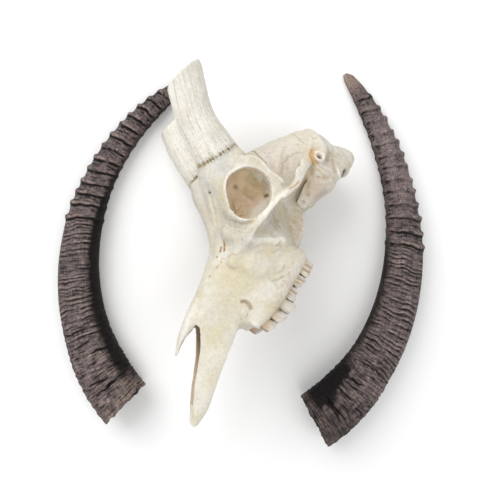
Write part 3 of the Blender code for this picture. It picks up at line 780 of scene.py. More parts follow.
    def patch(self, centre: Point, radii: Point, side: int) -> np.ndarray:
        """A soft mask of 0 to 1 inside an ellipsoid on one side."""
        away = (self.points - np.array(centre) * (1, side, 1)) / np.array(radii)
        return np.exp(-(away ** 2).sum(axis=1))

    def patches(self, places: Iterable[tuple[Point, Point]], side: int) -> np.ndarray:
        """The sum of the soft masks of several ellipsoids, given as (centre, radii)."""
        return sum(self.patch(centre, radii, side) for centre, radii in places)

    def roughen(self, mask: np.ndarray, size: float, height: float, seed: int,
                octaves: int = 3) -> None:
        """Move the points by noise where a mask says so."""
        where = np.flatnonzero(mask > 0.02)
        lumps = grain(self.points[where], size, seed, octaves) * mask[where] * height
        self.points[where] += self.normals[where] * lumps[:, None]


@dataclass(frozen=True)
class BoneCarving:
    """The marks that give the smooth forms a real skull's surface."""

    forms: SkullForms

    def main_strokes(self) -> list[Stroke]:
        """Ridges, edges and dents that can be told from a step away."""
        edge = self.forms.orbit_edge(LEFT, [(77, 0, 0, 1, 1.6), (77, 0, 0, 1, 1.6)], 36)[0]
        rim = [tuple(point) for point in np.vstack([edge, edge[:1]])]
        return [
            Stroke([(137, 43, 66), (128, 38, 62)], 11, -4.0),
            Stroke([(150, 47, 58), (146, 43, 50)], 5, -1.6),
            Stroke(rim, 1.8, 0.7, Tone.CHALK, 0.9, 1.4, taper=False),
            # Painted shade: a grey groove between the orbit's lower rim and the cheek ridge.
            Stroke([(166, 62, 108), (165, 64, 99), (161, 67, 92), (154, 71, 87), (146, 74, 84)],
                   2.4, -1.8, Tone.GREY, 0.55, 1.5),
            Stroke([(176, 53, 69), (168, 51, 64), (162, 50, 56), (158, 50, 48)], 1.3, -0.8,
                   Tone.GREY, 0.3),
            Stroke([(180, 51, 64), (173, 50, 58), (168, 50, 51)], 1.3, -0.6, Tone.GREY, 0.25),
            Stroke([(128, 50, 172), (138, 47, 162), (147, 43, 151), (157, 40, 139), (170, 33, 124),
                    (186, 22, 112)], 2.2, 1.2, Tone.CHALK, 0.5),
            Stroke([(149, 46, 145), (155, 43, 138), (163, 39, 129), (174, 32, 119)], 2.2, -1.2,
                   Tone.GREY, 0.35),
            Stroke([(88, 70, 141), (90, 76, 126), (92, 79, 115), (97, 80, 102), (98, 81, 90),
                    (99, 80, 78)], 1.6, 1.6, Tone.CHALK, 0.7, 1.4),
            Stroke([(36, 36, 108), (53, 40, 100), (66, 41, 96), (78, 42, 88)], 3.2, 1.5,
                   Tone.CREAM, 0.8),
            Stroke([(40, 34, 114), (54, 35, 110), (66, 38, 104), (78, 42, 97)], 4.0, -1.2,
                   Tone.PINK, 0.5),
            Stroke([(46, 43, 92), (56, 42, 86), (66, 42, 80)], 3.4, -1.5, Tone.PINK, 0.7, 1.6),
            Stroke([(48, 46, 76), (56, 42, 74), (66, 41, 68)], 2.4, 1.2, Tone.CREAM, 0.6),
            Stroke([(333, 18, 41), (350, 17, 30), (362, 16, 24), (376, 13, 18)], 1.4, 0.9,
                   Tone.CHALK, 0.8),
            Stroke([(238, 38, 47), (234, 38, 42), (235, 38, 35), (239, 37, 30)], 1.7, -4.2,
                   Tone.BROWN, 0.95, 1.1),
            Stroke([(232, 39, 48), (229, 39, 41), (231, 39, 33)], 2.2, 1.0, Tone.CHALK, 0.5),
            Stroke([(246, 36, 40), (245, 36, 32)], 4.5, 1.6, Tone.CHALK, 0.8),
            Stroke([(226, 30, 88), (206, 34, 86), (190, 42, 84)], 6.0, -0.8),
            Stroke([(5, 34, 47), (20, 50, 42), (30, 52, 35), (35, 50, 24)], 2.2, -2.2,
                   Tone.OCHRE, 0.55),
            Stroke([(96, 17, 46), (97, 16, 38), (96, 15, 31)], 1.6, 1.2, Tone.CREAM, 0.6),
            Stroke([(107, 17, 42), (110, 17, 32), (112, 16, 22)], 2.6, -1.5, Tone.TAN, 0.7, 1.4),
            Stroke([(120, 17, 36), (121, 17, 26)], 1.8, 1.2, Tone.CREAM, 0.6),
            Stroke([(-8, 12, 88), (-6, 24, 84), (3, 38, 77), (14, 50, 68)], 2.4, 1.4,
                   Tone.CHALK, 0.6),
        ]

    @staticmethod
    def arc(centre: Point, reach: tuple[float, float], start: float, end: float) -> Rows:
        """Points of an upright oval arc round a centre, by angles in radians."""
        x, y, z = centre
        return [(x + reach[0] * math.cos(turn), y, z + reach[1] * math.sin(turn))
                for turn in np.arange(start, end, 0.4)]

    def accents(self) -> list[Stroke]:
        """Ridges, rings, stains, painted highlights and painted shade, whose colour shows over the
        broad paint.
        """
        return [
            # Painted highlight: the cheek ridge's crest is lightened.
            Stroke([(177, 50, 78), (168, 60, 80.5), (156, 69, 82), (145, 74, 79.5),
                    (131, 77, 76.5), (115, 79, 73.5), (98, 81, 70)], 2.4, 1.5, Tone.BLEACH_AND_HIGHLIGHT,
                   0.9, 2.0),
            # Painted shade: a lilac groove under the cheek ridge.
            Stroke([(178, 48, 70), (169, 56, 72.5), (157, 62, 73), (146, 66, 70), (132, 69, 67),
                    (116, 72, 64)], 2.8, -1.4, Tone.LILAC, 0.45, 1.4),
            # Painted highlight: the bright lip below the recessed panel.
            Stroke([(174, 55, 76), (166, 52, 71), (159, 50, 63), (154, 50, 55), (148, 48, 47),
                    (142, 45, 36)], 3.0, 2.0, Tone.BLEACH_AND_HIGHLIGHT, 0.8, 1.6),
            Stroke([(119, 27, 118), (121, 26, 108), (121, 27, 99), (122, 31, 88)], 2.6, 1.4,
                   Tone.ROSE, 0.8, 1.6),
            Stroke([(115, 28, 116), (117, 27, 106), (117, 28, 97)], 2.2, -1.2, Tone.DUSK,
                   0.7, 1.6),
            Stroke([(112, 36, 93), (109, 38, 88), (106, 41, 85)], 1.6, -2.4, Tone.BROWN, 0.9, 1.3),
            # Painted shadow: a black notch between the condyle and the plate beside it.
            Stroke([(34, 41, 19), (29, 43, 20), (25, 44, 20)], 2.4, -3.0, Tone.SHADOW_BLACK, 1.0, 1.2,
                   taper=False),
            Stroke([(30, 49, 32), (33, 47, 27), (36, 42, 22)], 1.5, 1.4, Tone.BLEACH_AND_HIGHLIGHT, 0.9),
            # Painted shade: an olive groove in the gap on the side wall behind the cheek arch.
            Stroke([(59, 38, 55), (66, 42, 51), (74, 45, 49), (84, 43, 45)], 3.0, -1.2,
                   Tone.OLIVE, 0.3, 1.3),
            Stroke([(46, 53, 55), (46, 56, 47), (46, 55, 40), (45, 52, 34)], 1.7, 0.9,
                   Tone.CHALK, 0.5, 1.2),
            Stroke([(42, 54, 55), (41, 54, 46), (39, 53, 38), (37, 50, 32)], 1.5, 0.8,
                   Tone.CHALK, 0.4),
            Stroke([(50, 52, 53), (53, 53, 46), (54, 53, 40)], 1.6, 0.9, Tone.CHALK, 0.4),
            Stroke([(44, 53, 54), (44, 55, 46), (43, 53, 37)], 1.2, -0.9, Tone.TAN, 0.45, 1.6),
            Stroke([(48, 52, 54), (49, 54, 46), (50, 53, 38)], 1.2, -0.9, Tone.TAN, 0.45, 1.6),
            Stroke([(57, 50, 49), (55, 53, 43), (51, 52, 37), (47, 50, 32)], 1.7, -1.3,
                   Tone.TAN, 0.45, 1.6),
            Stroke([(62, 48, 47), (59, 50, 40), (54, 50, 33), (47, 47, 28)], 2.6, 1.2,
                   Tone.CREAM, 0.4),
            Stroke([(46, 51, 59), (45, 55, 64), (42, 60, 69), (34, 57, 70), (28, 56, 69)], 2.0,
                   -1.6, Tone.OCHRE, 0.7, 1.8),
            Stroke(self.arc((34.5, 61.5, 58.6), (5.4, 5.4), 0, 6.6), 1.7, 1.0, Tone.BLEACH_AND_HIGHLIGHT,
                   0.8, 1.3, taper=False),
            Stroke(self.arc((36.2, 60, 58.6), (2.0, 2.8), -1.2, 2.4), 1.3, -1.2, Tone.BROWN,
                   1.0, 1.3, taper=False),
            Stroke(self.arc((35, 57, 59), (8.4, 8.4), -0.8, 2.4), 1.7, -1.2, Tone.OCHRE,
                   0.6, 1.5),
        ]

    def seams(self) -> list[Stroke]:
        """Sutures that don't part two nodes, as fine wandering grooves."""
        fine = dict(width=0.85, tone=Tone.BROWN, wander=0.9)
        return [
            Stroke([(58, 0, 137), (61, 19, 131), (67, 33, 122), (73, 40, 110), (78, 42, 99)],
                   height=-1.1, paint=0.75, **fine),
            Stroke([(12, 1, 108), (14, 25, 101), (20, 40, 90), (26, 49, 76)],
                   height=-0.6, paint=0.4, **fine),
            Stroke([(76, 42, 84), (62, 43, 90), (46, 45, 88), (34, 47, 80)],
                   height=-0.7, paint=0.45, **fine),
            Stroke([(184, 1, 117), (160, 1, 126), (130, 1, 142), (95, 1, 150), (62, 1, 138)],
                   height=-0.8, paint=0.5, **fine),
            Stroke([(206, 27, 93), (202, 31, 89), (196, 38, 85), (192, 46, 80), (184, 53, 75)],
                   height=-0.6, paint=0.28, **fine),
            Stroke([(151, 48, 51), (149, 47, 45), (154, 48, 44), (159, 49, 47)], height=-1.1,
                   paint=0.6, **fine),
            Stroke([(170, 49, 47), (158, 49, 41), (148, 46, 40)], height=-0.8, paint=0.3, **fine),
            Stroke([(100, 81, 72), (92, 81, 68), (82, 79, 64)], height=-1.4, paint=0.9,
                   width=1.0, tone=Tone.OCHRE),
            Stroke([(164, 66, 120), (172, 50, 110), (178, 34, 103), (182, 30, 100)],
                   height=-0.5, paint=0.2, **fine),
            Stroke([(150, 1, 14), (190, 1, 13), (240, 1, 15), (290, 1, 19)],
                   height=-0.7, paint=0.5, **fine),
            Stroke([(172, 1, 13), (174, 12, 13), (168, 22, 8)], height=-0.6, paint=0.5, **fine),
            Stroke([(62, 1, 41), (62, 10, 42), (60, 18, 40)], height=-0.8, paint=0.5, **fine),
        ]

    def holes(self) -> list[Stroke]:
        """Small openings for vessels and nerves, and the slits beside the nose."""
        rows = [
            ([(182, 32, 101), (188, 31, 98), (194, 30, 95)], 0.95, -3.0, Tone.OCHRE),
            ([(192, 29, 100), (197, 27, 98)], 0.8, -1.6, Tone.BROWN),
            ([(204, 24, 98)], 1.0, -1.6, Tone.BROWN), ([(207, 28, 91)], 1.1, -1.6, Tone.OCHRE),
            ([(213, 26, 92), (216, 25, 91)], 0.9, -1.2, Tone.OCHRE),
            ([(228, 20, 93)], 0.9, -1.8, Tone.BROWN), ([(253, 33, 35)], 0.9, -1.4, Tone.TAN),
            # Painted shade: the small opening above the orbit is painted black.
            ([(147, 46, 147)], 1.5, -3.4, Tone.SHADOW_BLACK), ([(128, 43, 60)], 1.6, -1.2, Tone.OCHRE),
            ([(12, 47, 80)], 1.0, -1.2, Tone.OCHRE), ([(14, 50, 77)], 1.0, -1.2, Tone.OCHRE),
            ([(13, 52, 74)], 1.0, -1.2, Tone.OCHRE), ([(60, 33, 118)], 0.9, -1.0, Tone.TAN),
            ([(57, 36, 113)], 0.9, -1.0, Tone.TAN), ([(64, 36, 112)], 0.8, -0.9, Tone.TAN),
            ([(28, 41, 88)], 1.0, -1.2, Tone.GREY), ([(40, 38, 99)], 0.8, -0.9, Tone.GREY),
            ([(173, 48, 25), (180, 49, 24), (184, 48, 27)], 1.0, -1.1, Tone.GREY),
            ([(186, 49, 20), (192, 48, 23), (197, 46, 28)], 1.0, -0.9, Tone.GREY),
            ([(60, 20, 40)], 1.8, -2.5, Tone.BROWN), ([(82, 17, 50)], 2.4, -3.0, Tone.BROWN),
            ([(36, 22, 34)], 2.0, -3.0, Tone.BROWN), ([(158, 19, 9)], 1.8, -2.5, Tone.BROWN),
        ]
        return [Stroke(line, width, height, tone, 1.0, 1.15, taper=False)
                for line, width, height, tone in rows]

    def scatter(self) -> list[Stroke]:
        """Pores, ticks and root ribs, from a seeded draw."""
        rng = np.random.default_rng(11)
        x, y, z = self.forms.orbit
        reach = self.forms.orbit_reach
        out = []
        for _ in range(70):
            spot = np.array((166, 58, 112)) + rng.normal(0, 1, 3) * (6.5, 4, 10)
            size = rng.uniform(0.7, 1.25)
            out.append(Stroke([spot], size, -rng.uniform(0.7, 1.4), Tone.GREY,
                              rng.uniform(0.5, 0.9), 1.1))
        for turn in np.arange(-14, 62, 3.8):
            edge = np.interp(turn % 360, np.arange(0, 361, 30), reach + reach[:1])
            wide, high = math.cos(math.radians(turn)), math.sin(math.radians(turn))
            ends = edge + rng.uniform(0.2, 1.0), edge + rng.uniform(3.5, 8.5)
            out.append(Stroke([(x + r * wide, y + 2, z + r * high) for r in ends], 0.7,
                              -rng.uniform(0.8, 1.5), Tone.TAN, 0.6))
        for _ in range(60):
            spot = np.array((22, 50, 50)) + rng.normal(0, 1, 3) * (6, 4, 9)
            out.append(Stroke([spot], rng.uniform(0.7, 1.5), rng.uniform(-1.6, 0.9), Tone.GREY,
                              rng.uniform(0.2, 0.7), 1.2))
        for _ in range(45):
            spot = np.array((186, 48, 14)) + rng.normal(0, 1, 3) * (22, 3, 7)
            out.append(Stroke([spot], rng.uniform(0.7, 1.3), -rng.uniform(0.4, 1.0), Tone.TAN,
                              rng.uniform(0.1, 0.5), 1.2))
        return out

    def even(self, carver: Carver) -> None:
        """Flatten the joints of the forms where the real bone is one smooth sweep."""
        clear = ease(self.forms.orbit_gap(carver.points), 3.0, 8.0)
        deep = np.abs(carver.points[:, 1])
        for side in (LEFT, RIGHT):
            face = carver.patches((
                ((170, 52, 98), (15, 20, 16)), ((176, 46, 86), (14, 18, 9)),
                ((180, 40, 101), (16, 20, 14)), ((88, 77, 76), (7, 8, 5)),
                ((150, 44, 142), (16, 20, 14)), ((132, 50, 158), (18, 20, 10)),
                ((96, 62, 146), (14, 16, 9))), side)
            carver.melt(np.clip(face * 1.6, 0, 1) * clear * (deep > 20), 90)
            rear = carver.patches((
                ((2, 28, 30), (12, 14, 22)), ((20, 46, 36), (16, 12, 20)),
                ((52, 44, 32), (20, 12, 12)), ((92, 37, 45), (15, 13, 12))), side)
            carver.melt(np.clip(rear * 1.4, 0, 1), 34)
        carver.measure()

    def wear(self, carver: Carver) -> None:
        """The uneven surface that dry bone has, coarser where muscles held on."""
        everywhere = np.ones(len(carver.points))
        carver.roughen(everywhere, 14, 0.45, 3)
        carver.roughen(everywhere, 4.5, 0.16, 5)
        for side in (LEFT, RIGHT):
            for centre, radii, size, height in (
                    ((188, 48, 14), (30, 12, 12), 5, 1.0), ((22, 50, 52), (14, 14, 20), 5, 1.6),
                    ((48, 46, 38), (20, 14, 18), 7, 1.5), ((110, 16, 30), (26, 8, 16), 5, 1.3),
                    ((166, 56, 112), (12, 14, 20), 3, 0.5), ((150, 44, 52), (14, 8, 10), 5, 0.9)):
                carver.roughen(carver.patch(centre, radii, side), size, height, 7 + side)

    def core_lines(self, carver: Carver) -> None:
        """Long grooves and pores on the horn cores, above their seams."""
        for side in (LEFT, RIGHT):
            axis = np.array(self.forms.horn_axis(side))
            seam = np.array(self.forms.horn_seam) * (1, side, 1)
            rise = (carver.points - seam) @ axis
            where = np.flatnonzero((rise > -4.0) & (carver.points[:, 1] * side > 5)
                                   & (carver.points[:, 2] > 120))
            spots, up = carver.points[where], rise[where]
            path = smooth_rows([row[:3] for row in self.forms.horn_path()], 24) * (1, side, 1)
            ahead = np.gradient(path, axis=0)
            ahead /= np.linalg.norm(ahead, axis=1, keepdims=True)
            high = np.array((1.0, 0, 0)) - ahead * ahead[:, :1]
            high /= np.linalg.norm(high, axis=1, keepdims=True)
            broad = np.cross(high, ahead)
            close = ((path ** 2).sum(axis=1) - 2 * spots @ path.T).argmin(axis=1)
            off = spots - path[close]
            around = np.stack([(off * high[close]).sum(axis=1), (off * broad[close]).sum(axis=1),
                               np.zeros(len(off))], axis=1)
            around /= np.linalg.norm(around, axis=1, keepdims=True)
            flat = np.abs((carver.normals[where] * ahead[close]).sum(axis=1)) < 0.5
            lie = around * 26 + np.outer(up / 26, (0, 0, 1))
            ribs = grain(lie, 1.7, 21 + side, 2)
            deep = np.clip(grain(lie, 1.4, 31 + side, 1) - 0.22, 0, 1)
            pores = np.clip(grain(spots, 1.7, 41, 2) - 0.24, 0, 1) * ease(up, 26, 4)
            move = (0.38 * ribs - 0.9 * deep - 1.0 * pores) * flat * ease(up, 0, 3)
            carver.blend(flat * ease(up, 0, 4) * (0.72 + 0.3 * grain(spots, 16, 63, 2)),
                         Tone.BLEACH_AND_HIGHLIGHT, where)
            carver.blend((deep * 1.1 + pores * 1.3 + np.clip(-ribs, 0, 1) * 0.7) * flat,
                         Tone.GREY, where)
            notch = grain(around * 26 + np.outer(up / 7, (0, 0, 1)), 1.5, 51 + side, 1)
            height = 1.0 + 1.6 * grain(around * 26, 7.0, 53 + side, 1)
            band = np.exp(-((up - height) / 2.3) ** 2) * ease(notch, -0.10, 0.12)
            move -= 1.9 * band
            carver.points[where] += carver.normals[where] * move[:, None]
            carver.blend(band * 1.3, Tone.OLIVE, where)
            carver.blend(np.exp(-((up - height) / 0.9) ** 2) * 0.6, Tone.BROWN, where)
            glow = ease(up, 26, 2) * ease(spots[:, 0], 100, 124)
            carver.blend(glow * np.clip(0.5 + grain(spots, 5, 61, 2), 0, 1) * 0.4,
                         Tone.IVORY, where)

    def paint(self, carver: Carver) -> None:
        """Broad colour: paler crests and darker hollows, partly bleaching and dirt and partly
        painted highlight and shade, and local patches, some of them painted shade.
        """
        points = carver.points
        carver.blend(0.5 + 0.9 * grain(points, 34, 71, 3), Tone.CHALK)
        carver.blend(0.28 + 0.8 * grain(points, 21, 73, 3), Tone.IVORY)
        wide, tight = carver.hollowness(40), carver.hollowness(5)
        # Hollows darkened and crests lightened: partly dirt and bleaching, partly painted shade in
        # the hollows and painted highlight on the crests.
        carver.blend(ease(wide, 0.5, 3.5) * 0.42, Tone.TAN)
        carver.blend(ease(tight, 0.06, 0.4) * 0.5, Tone.TAN)
        carver.blend(ease(-wide, 0.4, 2.2) * 0.7, Tone.BLEACH_AND_HIGHLIGHT)
        for side in (LEFT, RIGHT):
            for centre, radii, tone, strength in (
                    ((218, 40, 62), (36, 20, 24), Tone.IVORY, 0.9),
                    ((212, 40, 72), (20, 16, 14), Tone.IVORY, 0.5),
                    ((124, 58, 158), (26, 24, 17), Tone.BLUE, 0.9),
                    ((60, 42, 92), (34, 16, 26), Tone.PINK, 0.6),
                    ((188, 48, 10), (36, 12, 10), Tone.PINK, 0.45),
                    ((22, 51, 50), (11, 14, 20), Tone.GREY, 0.4),
                    ((38, 58, 66), (12, 8, 8), Tone.OCHRE, 0.55),
                    ((66, 26, 48), (14, 22, 14), Tone.TAN, 0.7),
                    ((60, 48, 38), (17, 12, 13), Tone.TAN, 0.5),
                    ((74, 44, 40), (14, 10, 10), Tone.PINK, 0.7),
                    # Painted shade: lilac over the rough low area between the ear and the palate.
                    ((68, 44, 31), (22, 8, 5), Tone.LILAC, 0.8),
                    ((35.5, 55, 58.6), (4, 8, 4.5), Tone.BROWN, 1.3),
                    ((44, 57, 65), (6, 8, 8), Tone.OCHRE, 0.5),
                    ((30, 50, 44), (14, 12, 22), Tone.PINK, 0.5),
                    # Painted shade: lilac over the recessed panel under the cheek ridge.
                    ((144, 45, 62), (16, 9, 10), Tone.LILAC, 0.6),
                    ((126, 46, 62), (11, 10, 10), Tone.LILAC, 0.6),
                    ((132, 45, 48), (10, 9, 10), Tone.LILAC, 0.5),
                    ((278, 14, 84), (30, 14, 9), Tone.BLEACH_AND_HIGHLIGHT, 0.95),
                    ((34, 34, 88), (22, 22, 12), Tone.BLEACH_AND_HIGHLIGHT, 0.5),
                    ((340, 20, 40), (46, 14, 14), Tone.BLEACH_AND_HIGHLIGHT, 0.3),
                    ((340, 22, 36), (40, 12, 12), Tone.CHALK, 0.5),
                    # Painted shade: lilac where the cheek turns down toward the teeth.
                    ((206, 48, 30), (20, 10, 14), Tone.LILAC, 0.22),
                    ((110, 16, 34), (28, 10, 18), Tone.TAN, 0.5),
                    ((168, 56, 104), (12, 14, 18), Tone.GREY, 0.3)):
                lumps = 0.75 + 0.6 * grain(points, 8, 81 + side, 2)
                carver.blend(carver.patch(centre, radii, side) * strength * lumps, tone)
            self.paint_socket(carver, side)
        # Painted shade: the inner walls of the nose, seen through its opening, are tinted tan.
        nose = (np.abs(points[:, 1]) < 24) & (points[:, 0] > 185) & (points[:, 2] > 28)
        inside = nose * ease(self.inward(carver), 0.1, 0.6)
        carver.blend(inside * 0.85, Tone.TAN)

    @staticmethod
    def inward(carver: Carver) -> np.ndarray:
        """How far each point's normal turns to the skull's middle line."""
        middle = np.array((0.0, 1.0, 1.0))
        core = carver.points * (0, 1, 1) - np.array((0, 0, 55.0))
        core /= np.maximum(np.linalg.norm(core, axis=1, keepdims=True), 1.0)
        return -(carver.normals * middle * core).sum(axis=1)

    def paint_socket(self, carver: Carver, side: int) -> None:
        """The inside of one eye socket: its stains, painted shade deep inside, at the back, under
        the rim and at two small openings, and a painted pool of light on its floor.
        """
        gap = self.forms.orbit_gap(carver.points)
        over = carver.points[:, 0] - self.forms.orbit[0]
        rise = carver.points[:, 2] - self.forms.orbit[2]
        depth = carver.points[:, 1] * side + self.forms.orbit_lean * np.clip(over, 0, None)
        inside = ease(gap, 4.5, 1.5) * ease(depth, 75.5, 72) * (depth > 20)
        lumps = 0.85 + 0.5 * grain(carver.points, 12, 91, 3)
        carver.blend(inside * lumps * 0.95, Tone.SAND)
        # Painted shade: a dull brown deep in the middle of the socket.
        middle = carver.patch((112, 30, 105), (20, 22, 18), side)
        carver.blend(inside * middle * (0.9 + grain(carver.points, 9, 95, 3)), Tone.DUSK)
        upper = carver.patches((((126, 33, 120), (14, 18, 22)), ((121, 30, 93), (11, 14, 10))),
                               side)
        carver.blend(inside * upper * 0.75, Tone.ROSE)
        # Painted shade: lilac at the back of the socket.
        rear = carver.patch((97, 60, 100), (8, 26, 30), side)
        carver.blend(inside * rear * 0.6, Tone.LILAC)
        # Painted shade: a tan band just inside the upper rim.
        ring = ease(gap, -7, -1) * ease(rise + 0.8 * over, -12, 8)
        carver.blend(inside * ring * 0.6, Tone.TAN)
        # Painted shade: two dark spots stand for small openings in the socket.
        dark = carver.patches((((118, 31, 125), (3.2, 9, 3.6)), ((106, 35, 86), (2.5, 8, 3.5))),
                              side)
        carver.blend(inside * dark * 0.9, Tone.BROWN)
        # Painted light: a bright pool on the socket's lower floor.
        painted_light_pool = carver.patch((130, 40, 85), (15, 18, 6), side)
        carver.blend(inside * painted_light_pool * 3.0, Tone.BLEACH_AND_HIGHLIGHT)

    def dress(self, thing: bpy.types.Object) -> Carver:
        """Carve and paint the whole skull."""
        carver = Carver(thing)
        self.even(carver)
        carver.carve(self.main_strokes())
        carver.measure()
        self.wear(carver)
        carver.measure()
        self.paint(carver)
        carver.carve(self.accents())
        carver.carve(self.seams())
        carver.carve(self.holes())
        carver.carve(self.scatter())
        self.core_lines(carver)
        carver.measure()
        return carver


# Parting into bones

@dataclass(frozen=True)
class Parting:
    """Parts the carved skull along its sutures."""

    forms: SkullForms
    step: float = 2.2
    stray: float = 0.8

    def ragged(self, outline: Rows, seed: float) -> np.ndarray:
        """Resample a closed outline, straying sideways as a suture does.

        Args:
            outline: Its corners.
            seed: Which way it strays.

        Returns:
            The points of the ragged outline.
        """
        corners = np.asarray(outline, float)
        out = []
        for start, end in zip(corners, np.roll(corners, -1, axis=0)):
            count = max(1, int(np.linalg.norm(end - start) / self.step))
            t = np.arange(count)[:, None] / count
            out.append(start + (end - start) * t)
        line = np.vstack(out)
        along = np.roll(line, -1, axis=0) - np.roll(line, 1, axis=0)
        along /= np.linalg.norm(along, axis=1, keepdims=True)
        aside = np.stack([-along[:, 1], along[:, 0]], axis=1)
        spots = np.column_stack([line, np.zeros(len(line))])
        return line + aside * (grain(spots, 3.4, seed, 2) * self.stray * 1.5)[:, None]

    def slab(self, outline: Rows, low: float, high: float, side: int, seed: float
             ) -> bpy.types.Object:
        """A ragged outline of (x, z) points, extruded along y from low to high."""
        bm = bmesh.new()
        verts = [bm.verts.new((x, side * low, z)) for x, z in self.ragged(outline, seed)]
        face = bm.faces.new(verts)
        made = bmesh.ops.extrude_face_region(bm, geom=[face])["geom"]
        bmesh.ops.translate(bm, vec=(0, side * (high - low), 0),
                            verts=[item for item in made if isinstance(item, bmesh.types.BMVert)])
        return new_object("slab", bm)

    def core_region(self, side: int) -> bpy.types.Object:
        """The horn core, above its toothed seam."""
        seam = Vector((self.forms.horn_seam[0], side * self.forms.horn_seam[1],
                       self.forms.horn_seam[2]))

        def teeth(across: float, along: float) -> float:
            """The height of the seam's teeth at a place on it."""
            coarse = noise.noise(Vector((across / 3.2, along / 3.2, side * 7.0)))
            fine = noise.noise(Vector((across / 1.7, along / 1.7, side * 3.0)))
            return 3.4 * coarse + 1.6 * fine

        return block("core_region", seam, self.forms.horn_axis(side), 110, 140, 84, teeth)

    def nasal_region(self, side: int) -> bpy.types.Object:
        """One nasal bone, from its root between the orbits to its free tip."""
        rows = smooth_rows([(170, 6, 103), (188, 15, 98), (215, 19, 93), (245, 21.5, 86),
                            (268, 21.5, 82), (284, 21, 73), (300, 21, 66), (345, 21, 60)], 9)
        spots = np.column_stack([rows[:, 0], np.zeros((len(rows), 2))])
        rows[:, 1] += grain(spots, 3.4, 5 + side, 2) * self.stray
        rows[:, 2] += grain(spots, 3.4, 9 + side, 2) * self.stray
        inner = JOINT_GAP / 2
        rings = np.array([[(x, side * inner, low), (x, side * outer, low), (x, side * outer, 150),
                           (x, side * inner, 150)] for x, outer, low in rows])
        return loft("nasal_region", rings)

    def premaxilla_region(self, side: int) -> bpy.types.Object:
        """One premaxilla, in front of the suture that climbs from the gum to the nasal."""
        return self.slab([(266, 84), (270, 74), (279, 64), (286, 53), (294, 44), (303, 37),
                          (320, 28), (326, 0), (400, -10), (400, 76.5), (282, 76.5)],
                         JOINT_GAP / 2, 70, side, 3)

    def jugal_region(self, side: int) -> bpy.types.Object:
        """One zygomatic bone, from the face under the orbit to the end of its arch."""
        return self.slab([(196, 88), (176, 88), (158, 98), (126, 106), (106, 102), (84, 99),
                          (56, 84), (58, 52), (100, 50), (150, 60), (184, 68)], 49, 110, side, 4)

    def maxillae_region(self) -> bpy.types.Object:
        """The face in front of the orbits, the palate and the tooth rows."""
        return self.slab([(193, 140), (188, 104), (176, 84), (158, 66), (136, 56), (118, 44),
                          (112, 26), (132, -40), (420, -40), (420, 140)], -90, 90, LEFT, 6)

    def take(self, skull: bpy.types.Object, region: bpy.types.Object, name: str
             ) -> bpy.types.Object:
        """Part a bone from the skull along a region's faces, leaving the joint's gap.

        Args:
            skull: What is left of the skull, which loses the bone.
            region: The region's closed helper, which is removed.
            name: The bone's name.

        Returns:
            The bone.
        """
        bone = skull.copy()
        bone.data = skull.data.copy()
        bone.name = name
        bpy.context.collection.objects.link(bone)
        combine(bone, [region], "INTERSECT", keep=True)
        swell = region.modifiers.new("gap", "DISPLACE")
        swell.strength = JOINT_GAP
        swell.mid_level = 0.0
        settle(region)
        combine(skull, [region], "DIFFERENCE")
        return main_pieces(bone, 0.01)

    def bones(self, skull: bpy.types.Object) -> dict[str, bpy.types.Object]:
        """Every bone of the skull by the name of its node."""
        parts = {}
        for key, maker in (("horn_core", self.core_region), ("nasal", self.nasal_region),
                           ("premaxilla", self.premaxilla_region),
                           ("zygomatic", self.jugal_region)):
            for side in (LEFT, RIGHT):
                name = f"{key}_{SIDES[side]}"
                parts[name] = self.take(skull, maker(side), f"{name}_bone")
        parts["maxillae"] = self.take(skull, self.maxillae_region(), "maxillae_bone")
        skull.name = "cranium_bone"
        parts["cranium"] = main_pieces(skull, 0.002)
        return parts


# Teeth

